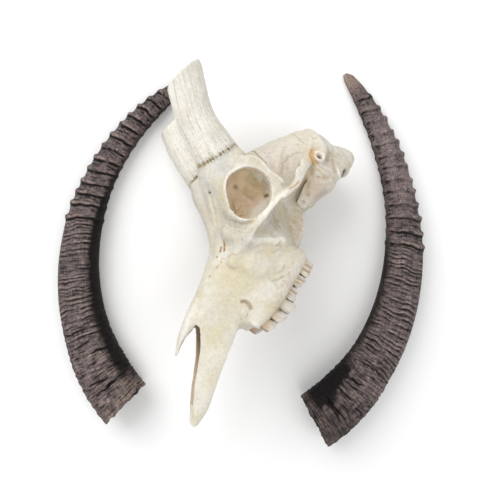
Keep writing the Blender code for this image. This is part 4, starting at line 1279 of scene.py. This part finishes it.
@dataclass(frozen=True)
class CheekTeeth:
    """Six ribbed cheek teeth of one side, from the last molar to the first premolar."""

    side: int
    ends: tuple[float, ...] = (148.5, 170.0, 186.5, 204.0, 220.0, 234.5, 250.5)
    tips: tuple[tuple[float, float], ...] = ((-5.5, -7.0), (-7.0, -4.5), (-4.0, -9.0),
                                             (-14.0, -11.0), (-11.0, -5.5), (-5.0, -1.0))
    root: float = 17.0
    around: int = 56

    def tooth(self, number: int) -> bpy.types.Object:
        """One tooth: two ribbed lobes that rise to a worn, creased chewing face."""
        back, front = self.ends[number:number + 2]
        middle = (back + front) / 2
        along = (middle - self.ends[0]) / (self.ends[-1] - self.ends[0])
        outer = 45.0 - 9.5 * max(0.0, along - 0.35)
        broad, half = 9.0 - 3.5 * along ** 2, (front - back) / 2 - 0.55
        rng = np.random.default_rng(60 + number + self.side)
        lean, twist = rng.uniform(-0.04, 0.04), rng.uniform(-0.05, 0.05)
        lobes = 2 if number < 3 else 1
        turns = math.tau * np.arange(self.around) / self.around
        u, v = np.cos(turns), np.sin(turns)
        u, v = np.sign(u) * np.abs(u) ** 0.45, np.sign(v) * np.abs(v) ** 0.45
        tip = self.tips[number][0] * (1 - u) / 2 + self.tips[number][1] * (1 + u) / 2
        styles = sum(np.exp(-((u - spot) / 0.11) ** 2) for spot in
                     ((-0.95, 0.0, 0.95) if lobes == 2 else (-0.9, 0.9)))
        ribs = sum(0.45 * np.exp(-((u - spot) / 0.13) ** 2) for spot in
                   ((-0.5, 0.5) if lobes == 2 else (0.0,)))
        outward = np.where(v > 0, (styles + ribs) * 1.9 - 1.2, 0.0) * np.clip(v * 1.6, 0, 1)
        inward = np.where(v < 0, -np.exp(-(u / 0.16) ** 2) * 1.6 * (lobes == 2), 0.0)
        cusp = np.cos(u * math.pi * lobes) * -1.0 if lobes == 2 else np.cos(u * math.pi * 0.8)
        rows = []
        for level, spread, sink in ((0, 0.80, 0), (0.2, 0.86, 0), (0.4, 0.92, 0), (0.55, 0.96, 0),
                                    (0.7, 1.0, 0), (0.85, 1.01, 0), (0.95, 0.99, 0),
                                    (1.0, 0.95, 0), (1.0, 0.90, 0.1), (1.0, 0.84, 0.9),
                                    (1.0, 0.62, 1.2), (1.0, 0.52, 0.4), (1.0, 0.40, 1.4),
                                    (1.0, 0.15, 1.8)):
            chip = 0.7 * grain(np.column_stack([u * 4, v * 4, u * 0]), 1.3, number + self.side, 2)
            edge = tip - cusp * np.where(v > 0, 0.9, 0.5) + sink + chip
            height = self.root + (edge - self.root) * level
            drift = lean * (height - self.root)
            x = middle + half * spread * u + drift + twist * broad * v
            y = outer - broad + broad * spread * v + (outward * spread - inward) + drift
            rows.append(np.stack([x, self.side * y, height], axis=-1))
        return loft("tooth", np.array(rows))

    def build(self) -> bpy.types.Object:
        """All six teeth, painted, as one object in the skull's frame."""
        teeth = [self.tooth(number) for number in range(len(self.tips))]
        row = join(f"cheek_teeth_{SIDES[self.side]}", teeth)
        self.paint(row)
        return row

    def paint(self, row: bpy.types.Object) -> None:
        """Clean enamel, brown necks, a darker chewing face, creases darkened partly as stain and
        partly as painted shade, and painted shade where neighbouring teeth meet.
        """
        carver = Carver(row)
        points = carver.points
        carver.blend(np.clip(0.5 + grain(points, 3, 5, 2), 0, 1), Tone.LILAC)
        height = points[:, 2]
        carver.blend(ease(height, -1.5, 5) * 0.85, Tone.TAN)
        streaks = grain(points, (1.6, 1.6, 8), 7, 2)
        carver.blend(np.clip(streaks * 1.5, 0, 1) * 0.5, Tone.IVORY)
        # Creases darkened, partly stain and partly painted shade.
        carver.blend(ease(carver.hollowness(4), 0.02, 0.15) * 0.9, Tone.TAN)
        carver.blend(ease(carver.hollowness(4), 0.12, 0.3) * 0.7, Tone.BROWN)
        carver.blend(np.clip(grain(points, (1.2, 1.2, 7), 11, 2) * 2, 0, 1) * 0.6, Tone.CHALK)
        # Painted shade: the ends where neighbouring teeth meet are darkened brown.
        ends = np.abs(carver.normals[:, 0]) * ease(height, -4, 3)
        carver.blend(ease(ends, 0.4, 0.85) * 0.95, Tone.BROWN)
        down = ease(-carver.normals[:, 2], 0.3, 0.9)
        carver.blend(down * np.clip(0.5 + grain(points, 2.0, 9, 2), 0, 1), Tone.GREY)
        store_colour(row, carver.tint)


# Horn sheaths

@dataclass(frozen=True)
class HornSheath:
    """One loose horn sheath: its course on the floor and the relief on it."""

    side: int
    start: tuple[float, float]
    heading: float
    base_radius: float
    tip_radius: float
    length: float
    girth: float
    rings: tuple[float, ...]
    pale_tip: float
    flatness: float = 0.88
    socket: float = 250.0
    wall: float = 5.0
    slant: float = 4.0
    mouth_share: float = 0.15
    sides: int = 132
    row_step: float = 1.05
    grain_reach: float = 30.0
    ring_heights: tuple[float, float] = (2.6, 3.5)
    ring_slopes: tuple[float, float] = (2.4, 5.4)
    fold_gaps: tuple[float, float] = (4.2, 8.5)
    fold_widths: tuple[float, float] = (0.7, 1.4)
    smooth_tip: float = 95.0
    layer_gap: float = 9.5
    cracks: int = 10
    first_crack: tuple[float, float, float, float] = (32.0, 0.48 * math.pi, 0.5, 0.0)

    def skin(self, turn: np.ndarray, distance: np.ndarray) -> np.ndarray:
        """Places on a plain round horn, where its grain is read."""
        return np.stack([self.grain_reach * np.cos(turn), self.grain_reach * np.sin(turn),
                         distance], axis=-1)

    def breadth(self, share: np.ndarray) -> np.ndarray:
        """Half breadth at a share of the length from the base."""
        shares = (0.0, 0.05, 0.12, 0.2, 0.3, 0.4, 0.5, 0.6, 0.75, 0.87, 0.95, 0.985, 1.0)
        halves = (38.0, 37.6, 36.2, 32.6, 30.6, 28.4, 26.2, 22.4, 18.9, 15.0, 11.0, 8.2, 4.0)
        return self.girth * np.interp(share, shares, halves)

    def course(self) -> tuple[np.ndarray, np.ndarray, np.ndarray]:
        """Distances, places and headings along the sheath, from the base to the tip."""
        samples = int(self.length / self.row_step)
        step = self.length / samples
        share = (np.arange(samples) + 0.5) / samples
        bend = (1 - share) / self.base_radius + share / self.tip_radius
        angle = math.radians(self.heading) - self.side * np.concatenate(
            [[0.0], np.cumsum(bend * step)])
        middle = (angle[:-1] + angle[1:]) / 2
        x = self.start[0] + np.concatenate([[0.0], np.cumsum(step * np.cos(middle))])
        y = self.start[1] + np.concatenate([[0.0], np.cumsum(step * np.sin(middle))])
        return np.linspace(0, self.length, samples + 1), np.stack([x, y], axis=1), angle

    def relief(self, along: np.ndarray, turns: np.ndarray) -> tuple[np.ndarray, np.ndarray]:
        """The height of rings, layers and cracks over the smooth horn.

        Args:
            along: Distances from the base, one for each row.
            turns: Angles round the section, one for each side.

        Returns:
            The relief, and a tone from -1 to 1: painted highlights on crests and folds, painted
            shade in grooves and cracks, and paler raised wear, as (row, side).
        """
        outer = np.cos(turns) * self.side
        seed = 2.0 + self.side
        grid = np.stack(np.meshgrid(along, turns, indexing="ij"), axis=-1)
        spots = self.skin(grid[..., 1], grid[..., 0]).reshape(-1, 3)
        shape = grid.shape[:2]
        warp = grain(spots, (26, 26, 60), seed, 2).reshape(shape)
        broken = grain(spots, (12, 12, 14), seed + 0.5, 2).reshape(shape)
        fine = grain(spots, (7, 7, 2.6), seed + 0.9, 3).reshape(shape)
        fibre = grain(spots, (1.6, 1.6, 22), seed + 1.3, 2).reshape(shape)
        height, shade = np.zeros(shape), np.zeros(shape)
        place = self.length - grid[..., 0]
        lean = 2.9 * (1 - outer)[None]
        rng = np.random.default_rng(40 + self.side)
        grip = (0.38 + 0.62 * ease(outer, -0.8, 0.3))[None]
        face = (ease(outer, 0.99, 0.80) * ease(outer, -1.0, -0.72))[None]
        for spot in self.rings:
            off = place - spot + lean - 3.0 * warp
            grown = ease(np.array(spot), 15, 75)
            profile = np.exp(-(off / np.where(off < 0, *self.ring_slopes)) ** 2)
            height += profile * rng.uniform(*self.ring_heights) * grown * grip \
                * (1 + 0.3 * broken)
            # Painted shade in a groove on each ring's base side, a painted highlight (glint) along
            # its crest, and a painted dark line (echo) on its tip side.
            groove = np.exp(-((off - 4.4) / 1.6) ** 2) * face * grown * (0.8 + 0.9 * broken)
            height -= groove * 1.5
            glint = np.exp(-((off - 1.2) / 1.2) ** 2) * face * grown * ease(broken, -0.15, 0.25)
            height += glint * 0.5
            shade += glint * 1.0 - groove * 1.5
            echo = np.exp(-((off + rng.uniform(6, 9)) / 1.2) ** 2) * face * (0.4 + 1.2 * broken)
            height -= echo * 0.5
            shade -= echo * 0.6
        spot = self.rings[-1] + 5.0
        while spot < self.length - self.smooth_tip:
            off = place - spot + lean * 1.5 - 4.2 * warp
            strength = rng.uniform(0.35, 1.0) * face * np.clip(0.8 + 1.1 * broken, 0, 1.5)
            groove = np.exp(-(off / rng.uniform(*self.fold_widths)) ** 2) * strength
            fold = np.exp(-((off + 2.4) / 1.3) ** 2) * strength
            # Painted highlight on each fold, painted shade in the groove beside it.
            height += fold * 0.7 - groove * 0.8
            shade += fold * 0.9 - groove * 1.0
            spot += rng.uniform(*self.fold_gaps)
        low = ease(grid[..., 0], 165, 90)
        layers = (grid[..., 0] + 11 * warp + 4 * broken - 8 * outer[None]) \
            / self.layer_gap
        steps = layers - np.floor(layers)
        height += low * (1.1 * (steps ** 2.5) - 0.3 + 0.5 * fine)
        height += (0.22 + 0.5 * low) * fine * 0.7 + 0.20 * fibre
        for number in range(self.cracks):
            where, middle = rng.uniform(14, 120), rng.uniform(0.15, 0.85) * math.pi
            reach, slope = rng.uniform(0.25, 0.7), rng.uniform(-8, 8)
            if number == 0:
                where, middle, reach, slope = self.first_crack
            off = grid[..., 0] - where - slope * (grid[..., 1] - middle) - 2.0 * broken
            arc = ease(np.abs(grid[..., 1] - middle), reach, reach * 0.4)
            height -= 1.5 * np.exp(-(off / 0.9) ** 2) * arc
            # Painted shade in each crack.
            shade -= 1.2 * np.exp(-(off / 0.9) ** 2) * arc
        shade += np.clip(height * 0.25 - 0.3, 0, 0.5) * (0.5 + 0.8 * broken) + 0.5 * fine * low
        return height, np.clip(shade, -1, 1)

    def build(self) -> bpy.types.Object:
        """The sheath as one closed wall, from the end of its hollow round its mouth to its tip."""
        along, places, angle = self.course()
        share = along / self.length
        turns = math.tau * (np.arange(self.sides) + 0.5) / self.sides
        height, light_and_wear = self.relief(along, turns)
        half = self.breadth(share)[:, None]
        middle = self.breadth(share) * self.flatness
        swell = ease(along, 0, 14)[:, None] * ease(along, self.length, self.length - 12)[:, None]
        radius = half - 0.9 + height * (0.35 + 0.65 * swell)
        lean = self.side * math.radians(self.slant) * np.maximum(0, 1 - share / self.mouth_share)
        spots = self.skin(turns, turns * 0)
        ragged = np.clip(3.2 * grain(spots, 9, 5 + self.side, 3), -2, 4)
        fade = np.maximum(0, 1 - along / 16)[:, None]
        shove = fade * ragged[None]
        outer = self.rings_at(places, angle + lean, radius, middle, turns, shove)
        depth = np.arange(0, self.socket, 4.0)
        rows = np.rint(depth / self.row_step).astype(int)
        thick = self.wall + 0.6 * self.breadth(share[rows]) * depth / self.socket
        thick[0] = self.wall * 0.75
        inner_radius = self.breadth(share[rows])[:, None] - thick[:, None] \
            + 0.4 * height[rows] * 0.5
        inner = self.rings_at(places[rows], (angle + lean)[rows], inner_radius, middle[rows],
                              turns, shove[rows] + 0.8 * (depth == 0)[:, None])
        rings = np.concatenate([inner[::-1], outer])
        rings[..., 2] = np.maximum(rings[..., 2] + SHEATH_SHIFT[2], FLOOR_CLEAR)
        rings[..., :2] += np.array(SHEATH_SHIFT[:2])
        name = f"horn_sheath_{SIDES[self.side]}_keratin"
        thing = loft(name, rings)
        self.paint(thing, rings, along, turns, light_and_wear, len(rows))
        thing.data.transform(Matrix.Scale(MM, 4))
        return thing

    def rings_at(self, places: np.ndarray, angle: np.ndarray, radius: np.ndarray,
                 height: np.ndarray, turns: np.ndarray, shove: np.ndarray) -> np.ndarray:
        """Oval sections across the course, some points shoved along it.

        Args:
            places: Places (x, y) of the sections.
            angle: Their headings.
            radius: Half breadths, as (row, side).
            height: The height of each section's middle.
            turns: Angles round the section.
            shove: How far each point is moved on along the course.

        Returns:
            Points as (row, side, xyz).
        """
        across = np.stack([-np.sin(angle), np.cos(angle)], axis=1)[:, None]
        ahead = np.stack([np.cos(angle), np.sin(angle)], axis=1)[:, None]
        flat = places[:, None] + across * (radius * np.cos(turns))[..., None] \
            + ahead * shove[..., None]
        z = height[:, None] + radius * self.flatness * np.sin(turns)
        return np.concatenate([flat, z[..., None]], axis=-1)

    def paint(self, thing: bpy.types.Object, rings: np.ndarray, along: np.ndarray,
              turns: np.ndarray, light_and_wear: np.ndarray, inner_rows: int) -> None:
        """Dark horn, paler on worn crests and at the mouth's fibres and tip, with painted
        highlights on the crests and painted shade in the grooves, inside the hollow, on the
        concave side and along the convex edge.
        """
        count = len(turns)
        reach = np.concatenate([np.zeros(inner_rows), along])
        worn = np.vstack([np.zeros((inner_rows, count)), light_and_wear]).ravel()
        distance = np.repeat(reach, count)
        turn = np.tile(turns, len(reach))
        outer = np.cos(turn) * self.side
        spots = self.skin(turn, distance)
        tint = np.tile(np.array(Tone.HORN.value), (len(spots), 1))

        def blend(mask: np.ndarray, tone: Tone) -> None:
            """Mix a tone in by a mask."""
            level = np.clip(mask, 0, 1)[:, None]
            tint[:] = tint * (1 - level) + np.array(tone.value) * level

        patchy = grain(spots, (14, 14, 30), 3 + self.side, 3)
        streak = grain(spots, (1.5, 1.5, 20), 5 + self.side, 2)
        layer = grain(spots, (16, 16, 1.7), 7 + self.side, 3)
        low = ease(distance, 150, 20)
        blend(0.30 + 0.5 * patchy, Tone.HORN_PALE)
        blend(np.clip(layer * 1.5, 0, 1) * (0.25 + 0.55 * low), Tone.HORN_STRAW)
        blend(np.clip(streak, 0, 1) * 0.4, Tone.HORN_PALE)
        mouth = 0.12 if self.side == RIGHT else 0.35
        blend(ease(distance, 26, 0) * (mouth + 0.6 * layer), Tone.HORN_STRAW)
        blend(np.clip(-layer, 0, 1) * 1.5 + np.clip(-streak, 0, 1) * 0.5, Tone.HORN_DARK)
        # Painted highlights and shade from the relief, with paler wear on raised parts: pale where
        # it is high, dark where it is low.
        blend(worn, Tone.HORN_PALE)
        blend((worn - 0.4) * 1.0, Tone.HORN_STRAW)
        blend(-worn * 1.6, Tone.HORN_DARK)
        # Painted shade: the concave side darkens to near black, less so toward the tip and on the
        # right sheath.
        narrow = 0.34 * ease(distance, 240, 380) + (0.26 if self.side == RIGHT else 0)
        band = ease(-outer + 0.12 * patchy - np.clip(narrow, 0, 0.4), 0.44, 0.76) \
            * ease(distance, 8, 45)
        blend(band * 0.97, Tone.HORN_DARK)
        # Painted shade along the convex edge.
        blend(ease(outer, 0.88, 0.98) * (0.25 + 0.35 * low), Tone.HORN_DARK)
        tip = ease(self.length - distance + 14 * patchy, self.pale_tip, self.pale_tip * 0.25)
        blend(tip * (0.75 + 0.5 * patchy), Tone.HORN_TIP)
        if self.side == RIGHT:
            left = self.length - distance
            blend(ease(left, 45, 90) * ease(left, 260, 160) * ease(outer, -0.85, -0.4)
                  * (0.6 + 0.5 * patchy), Tone.HORN_PALE)
            blend(ease(distance, 90, 20) * 0.5, Tone.HORN_DARK)
            edge = outer + 0.30 * grain(spots, 14, 9, 3) + 0.45 * ease(distance, 45, 95)
            patch = ease(-edge, 0.30, 0.46) * ease(distance, 6, 16) * ease(distance, 110, 80)
            blend(patch * 0.97, Tone.HORN_DARK)
        # Painted shade on the inner wall of the hollow.
        inside = np.repeat(np.arange(len(reach)) < inner_rows - 1, count)
        blend(inside * 0.6, Tone.HORN_DARK)
        lie = spots.copy()
        order = nearest(search_tree(rings.reshape(-1, 3)), thing)
        store_colour(thing, tint[order])
        store_vector(thing, "lie", lie[order] * MM)


# Attributes and finishes

def search_tree(points: np.ndarray) -> kdtree.KDTree:
    """A tree that finds the nearest of some points by its index."""
    tree = kdtree.KDTree(len(points))
    for index, point in enumerate(points):
        tree.insert(point, index)
    tree.balance()
    return tree


def nearest(tree: kdtree.KDTree, thing: bpy.types.Object) -> np.ndarray:
    """For each point of a piece, the index of the nearest one in the tree."""
    return np.array([tree.find(vert.co)[1] for vert in thing.data.vertices])


def store_colour(thing: bpy.types.Object, tint: np.ndarray) -> None:
    """Keep a colour for each point in the tint attribute."""
    layer = thing.data.color_attributes.new("tint", "FLOAT_COLOR", "POINT")
    rgba = np.column_stack([np.clip(tint, 0, 1), np.ones(len(tint))])
    layer.data.foreach_set("color", rgba.astype(np.float32).ravel())


def store_vector(thing: bpy.types.Object, name: str, rows: np.ndarray) -> None:
    """Keep a vector for each point in a named attribute."""
    layer = thing.data.attributes.new(name, "FLOAT_VECTOR", "POINT")
    layer.data.foreach_set("vector", rows.astype(np.float32).ravel())


class Graph:
    """A small helper that places and links shader nodes."""

    def __init__(self, tree: bpy.types.NodeTree) -> None:
        """Start on a node tree."""
        self.tree = tree

    def add(self, kind: str, settings: Optional[dict] = None, **inputs) -> bpy.types.Node:
        """Place a node, with settings as attributes and inputs as values or sockets."""
        node = self.tree.nodes.new(kind)
        for key, value in (settings or {}).items():
            setattr(node, key, value)
        for key, value in inputs.items():
            socket = node.inputs[int(key[1:])] if key[0] == "_" else node.inputs[key]
            if isinstance(value, bpy.types.NodeSocket):
                self.tree.links.new(value, socket)
            else:
                socket.default_value = value
        return node

    def mix(self, mode: str, factor: object, first: object, second: object
            ) -> bpy.types.NodeSocket:
        """Mix two colours."""
        node = self.add("ShaderNodeMix", {"data_type": "RGBA", "blend_type": mode})
        for index, value in ((0, factor), (6, first), (7, second)):
            if isinstance(value, bpy.types.NodeSocket):
                self.tree.links.new(value, node.inputs[index])
            else:
                node.inputs[index].default_value = value
        return node.outputs[2]

    def span(self, value: bpy.types.NodeSocket, low: float, high: float, to_low: float,
             to_high: float) -> bpy.types.NodeSocket:
        """Map a value from one range to another, held at its ends."""
        node = self.add("ShaderNodeMapRange", {"clamp": True}, _0=value, _1=low, _2=high,
                        _3=to_low, _4=to_high)
        return node.outputs[0]


@dataclass(frozen=True)
class Speckle:
    """A node group that gives fine mottling and small pits over a surface."""

    name: str = "bone speckle"

    def group(self) -> bpy.types.NodeTree:
        """The group, built once."""
        if self.name in bpy.data.node_groups:
            return bpy.data.node_groups[self.name]
        tree = bpy.data.node_groups.new(self.name, "ShaderNodeTree")
        for label, kind in (("Vector", "NodeSocketVector"), ("Mottle Scale", "NodeSocketFloat"),
                            ("Pit Scale", "NodeSocketFloat")):
            tree.interface.new_socket(name=label, in_out="INPUT", socket_type=kind)
        for label in ("Mottle", "Pits", "Grain"):
            tree.interface.new_socket(name=label, in_out="OUTPUT", socket_type="NodeSocketFloat")
        graph = Graph(tree)
        source = graph.add("NodeGroupInput")
        sink = graph.add("NodeGroupOutput")
        mottle = graph.add("ShaderNodeTexNoise", None, Vector=source.outputs[0],
                           Scale=source.outputs[1], Detail=5.0, Roughness=0.62)
        cells = graph.add("ShaderNodeTexNoise", None, Vector=source.outputs[0],
                          Scale=source.outputs[2], Detail=2.0, Roughness=0.5)
        fine = graph.add("ShaderNodeTexNoise", None, Vector=source.outputs[0],
                         Scale=source.outputs[2], Detail=6.0, Roughness=0.7)
        pits = graph.span(cells.outputs[0], 0.60, 0.70, 0.0, 1.0)
        tree.links.new(mottle.outputs[0], sink.inputs[0])
        tree.links.new(pits, sink.inputs[1])
        tree.links.new(fine.outputs[0], sink.inputs[2])
        return tree


@dataclass(frozen=True)
class BoneFinish:
    """Dry bleached bone: its painted tint, fine mottling, pores and a dull surface."""

    name: str
    roughness: float = 0.62
    pit_depth: float = 0.5
    pit_stain: float = 0.35
    bump: float = 0.25
    mottle: float = 260.0
    pits: float = 900.0

    def material(self) -> bpy.types.Material:
        """Build the material."""
        material = bpy.data.materials.new(self.name)
        material.use_nodes = True
        tree = material.node_tree
        graph = Graph(tree)
        shader = next(node for node in tree.nodes if node.type == "BSDF_PRINCIPLED")
        shader.inputs["Specular IOR Level"].default_value = 0.35
        tint = graph.add("ShaderNodeAttribute", {"attribute_name": "tint"})
        place = graph.add("ShaderNodeTexCoord")
        speckle = graph.add("ShaderNodeGroup", {"node_tree": Speckle().group()},
                            _0=place.outputs["Object"], _1=self.mottle, _2=self.pits)
        shade = graph.span(speckle.outputs[0], 0.3, 0.7, 0.86, 1.06)
        grey = graph.add("ShaderNodeCombineColor", None, _0=shade, _1=shade, _2=shade)
        colour = graph.mix("MULTIPLY", 1.0, tint.outputs["Color"], grey.outputs[0])
        stain = graph.span(speckle.outputs[1], 0.0, 1.0, 0.0, self.pit_stain)
        colour = graph.mix("MIX", stain, colour, (*Tone.TAN.value, 1.0))
        tree.links.new(colour, shader.inputs["Base Color"])
        rough = graph.span(speckle.outputs[0], 0.3, 0.7, self.roughness - 0.08,
                           self.roughness + 0.1)
        tree.links.new(rough, shader.inputs["Roughness"])
        low = graph.add("ShaderNodeMath", {"operation": "MULTIPLY_ADD"}, _0=speckle.outputs[1],
                        _1=-self.pit_depth, _2=speckle.outputs[2])
        bump = graph.add("ShaderNodeBump", None, Strength=self.bump, Distance=0.0006,
                         Height=low.outputs[0])
        tree.links.new(bump.outputs[0], shader.inputs["Normal"])
        return material


@dataclass(frozen=True)
class HornFinish:
    """Dull fibrous horn, its grain running along the horn."""

    name: str = "horn_keratin"
    roughness: float = 0.6

    def material(self) -> bpy.types.Material:
        """Build the material."""
        material = bpy.data.materials.new(self.name)
        material.use_nodes = True
        tree = material.node_tree
        graph = Graph(tree)
        shader = next(node for node in tree.nodes if node.type == "BSDF_PRINCIPLED")
        shader.inputs["Specular IOR Level"].default_value = 0.12
        tint = graph.add("ShaderNodeAttribute", {"attribute_name": "tint"})
        lie = graph.add("ShaderNodeAttribute", {"attribute_name": "lie"})
        stretch = graph.add("ShaderNodeMapping", None, Vector=lie.outputs["Vector"],
                            Scale=(1.0, 1.0, 0.07))
        fibres = graph.add("ShaderNodeTexNoise", None, Vector=stretch.outputs[0], Scale=900.0,
                           Detail=4.0, Roughness=0.65)
        squash = graph.add("ShaderNodeMapping", None, Vector=lie.outputs["Vector"],
                           Scale=(0.22, 0.22, 1.0))
        bands = graph.add("ShaderNodeTexNoise", None, Vector=squash.outputs[0], Scale=520.0,
                          Detail=5.0, Roughness=0.7)
        speckle = graph.add("ShaderNodeGroup", {"node_tree": Speckle().group()},
                            _0=lie.outputs["Vector"], _1=420.0, _2=1100.0)
        streak = graph.span(fibres.outputs[0], 0.35, 0.68, 0.66, 1.38)
        layer = graph.span(bands.outputs[0], 0.35, 0.68, 0.62, 1.45)
        mottle = graph.span(speckle.outputs[0], 0.35, 0.68, 0.7, 1.35)
        colour = tint.outputs["Color"]
        for level in (streak, layer, mottle):
            grey = graph.add("ShaderNodeCombineColor", None, _0=level, _1=level, _2=level)
            colour = graph.mix("MULTIPLY", 1.0, colour, grey.outputs[0])
        tree.links.new(colour, shader.inputs["Base Color"])
        rough = graph.span(fibres.outputs[0], 0.3, 0.7, self.roughness - 0.1,
                           self.roughness + 0.15)
        tree.links.new(rough, shader.inputs["Roughness"])
        height = graph.add("ShaderNodeMath", {"operation": "ADD"}, _0=fibres.outputs[0],
                           _1=bands.outputs[0])
        bump = graph.add("ShaderNodeBump", None, Strength=0.55, Distance=0.0010,
                         Height=height.outputs[0])
        tree.links.new(bump.outputs[0], shader.inputs["Normal"])
        return material


def finish(thing: bpy.types.Object, material: bpy.types.Material, sharp: float) -> None:
    """Dress a piece with its material and soften it between sharp edges."""
    thing.data.materials.clear()
    thing.data.materials.append(material)
    thing.data.shade_smooth()
    thing.data.set_sharp_from_angle(angle=math.radians(sharp))


# Assembly

@dataclass
class Skull:
    """Builds every bone, lays it in place and hands it to the frame."""

    forms: SkullForms = field(default_factory=SkullForms)

    @staticmethod
    def placing() -> Matrix:
        """The transform from the skull's millimetres to the room's metres."""
        turn = Matrix.Rotation(math.radians(REST_HEADING), 4, "Z") \
            @ Matrix.Rotation(math.radians(REST_PITCH), 4, "Y") \
            @ Matrix.Rotation(math.radians(REST_ROLL), 4, "X")
        return Matrix.Scale(MM, 4) @ Matrix.Translation(SKULL_SHIFT) @ turn

    def lay(self, thing: bpy.types.Object) -> None:
        """Turn a piece to its rest, and press what dips below the floor up to it."""
        thing.data.transform(self.placing())
        co = np.empty(len(thing.data.vertices) * 3)
        thing.data.vertices.foreach_get("co", co)
        co = co.reshape(-1, 3)
        co[:, 2] = np.maximum(co[:, 2], FLOOR_CLEAR * MM)
        thing.data.vertices.foreach_set("co", co.ravel())
        thing.data.update()

    def build(self) -> None:
        """Build, paint, part and lay down the skull."""
        whole = self.forms.whole()
        log.info("skull skin: %d points", len(whole.data.vertices))
        carver = BoneCarving(self.forms).dress(whole)
        tree = search_tree(carver.points)
        bones = Parting(self.forms).bones(whole)
        finishes = {"horn_core": (BoneFinish("core_bone", 0.72, 0.9, 0.15, 0.4), "core_bone"),
                    "maxillae": (BoneFinish("face_bone", 0.55, 0.4, 0.2, 0.2), "face_bone"),
                    "premaxilla": (BoneFinish("muzzle_bone", 0.52, 0.3, 0.15, 0.18), "face_bone")}
        plain = (BoneFinish("skull_bone"), "bone")
        materials: dict[str, bpy.types.Material] = {}
        for node, bone in bones.items():
            style, slot = next((value for key, value in finishes.items()
                                if node.startswith(key)), plain)
            if style.name not in materials:
                materials[style.name] = style.material()
            thin(bone, MOST_TRIANGLES)
            store_colour(bone, carver.tint[nearest(tree, bone)])
            self.lay(bone)
            finish(bone, materials[style.name], 48)
            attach(bone, "root")
            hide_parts(node)
            log.info("%s: %d faces", bone.name, len(bone.data.polygons))
        enamel = BoneFinish("enamel", 0.38, 0.2, 0.12, 0.15).material()
        for side in (LEFT, RIGHT):
            row = CheekTeeth(side).build()
            self.lay(row)
            finish(row, enamel, 42)
            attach(row, "root")
            log.info("%s: %d faces", row.name, len(row.data.polygons))


@dataclass
class SheathPair:
    """The two loose horn sheaths."""

    strong_rings: int = 12

    def ring_places(self, side: int, first: float) -> tuple[float, ...]:
        """Distances of the strong rings from the tip, unevenly spaced."""
        rng = np.random.default_rng(5 + side)
        gaps = 17.6 + rng.uniform(-2.6, 2.8, self.strong_rings)
        return tuple(first + np.concatenate([[0.0], np.cumsum(gaps)]))

    def build(self) -> None:
        """Build and dress both sheaths."""
        material = HornFinish().material()
        left = HornSheath(LEFT, (-148.4, -200.1), 131.6, 264.9, 362.0, 530.0, 0.985,
                          self.ring_places(LEFT, 50.0), 22.0)
        right = HornSheath(RIGHT, (105.2, -222.4), 32.2, 245.7, 579.1, 545.0, 1.015,
                           self.ring_places(RIGHT, 47.0), 46.0)
        for sheath in (left, right):
            thing = sheath.build()
            finish(thing, material, 60)
            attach(thing, "root")
            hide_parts(f"horn_sheath_{SIDES[sheath.side]}")
            log.info("%s: %d faces", thing.name, len(thing.data.polygons))


@dataclass(frozen=True)
class Studio:
    """The pale floor, the soft lights and the camera of the photo."""

    camera_place: tuple[float, float, float] = (-0.000568, -0.049019, 0.8605)
    camera_tilt: float = 4.471
    camera_lean: float = 0.039
    lens: float = 45.33
    floor_size: float = 8.0
    floor_white: float = 0.93
    sky_strength: float = 0.6
    key_place: tuple[float, float, float] = (-1.0, 1.1, 1.6)
    key_size: float = 2.0
    key_power: float = 33.0
    fill_place: tuple[float, float, float] = (0.6, -0.9, 1.8)
    fill_size: float = 1.6
    fill_power: float = 13.0

    def floor(self) -> None:
        """A broad pale floor."""
        bm = bmesh.new()
        bmesh.ops.create_grid(bm, x_segments=1, y_segments=1, size=self.floor_size / 2)
        floor = new_object("studio_floor", bm)
        material = bpy.data.materials.new("paper_white")
        material.use_nodes = True
        shader = next(node for node in material.node_tree.nodes
                      if node.type == "BSDF_PRINCIPLED")
        shader.inputs["Base Color"].default_value = (*[self.floor_white] * 3, 1.0)
        shader.inputs["Roughness"].default_value = 0.9
        floor.data.materials.append(material)

    def light(self, name: str, place: Point, size: float, power: float) -> None:
        """One soft square light that faces the middle of the floor."""
        data = bpy.data.lights.new(name, "AREA")
        data.size = size
        data.energy = power
        lamp = bpy.data.objects.new(name, data)
        lamp.location = place
        lamp.rotation_euler = (-Vector(place)).to_track_quat("-Z", "Y").to_euler()
        bpy.context.collection.objects.link(lamp)

    def camera(self) -> None:
        """The camera that looks nearly straight down."""
        data = bpy.data.cameras.new("camera")
        data.lens = self.lens
        data.sensor_width = 36.0
        data.clip_start = 0.02
        camera = bpy.data.objects.new("camera", data)
        camera.location = self.camera_place
        camera.rotation_euler = (math.radians(self.camera_tilt), math.radians(self.camera_lean), 0)
        bpy.context.collection.objects.link(camera)
        bpy.context.scene.camera = camera

    def build(self) -> None:
        """Set the floor, the lights, the sky and the camera."""
        self.floor()
        self.light("key", self.key_place, self.key_size, self.key_power)
        self.light("fill", self.fill_place, self.fill_size, self.fill_power)
        world = bpy.data.worlds.new("sky")
        world.use_nodes = True
        back = next(node for node in world.node_tree.nodes if node.type == "BACKGROUND")
        back.inputs[0].default_value = (1.0, 1.0, 1.0, 1.0)
        back.inputs[1].default_value = self.sky_strength
        bpy.context.scene.world = world
        bpy.context.scene.view_settings.view_transform = "Standard"
        self.camera()


def main() -> None:
    """Build everything."""
    logging.basicConfig(level=logging.INFO, format="%(message)s")
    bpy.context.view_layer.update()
    Studio().build()
    Skull().build()
    SheathPair().build()


if __name__ == "__main__":
    main()
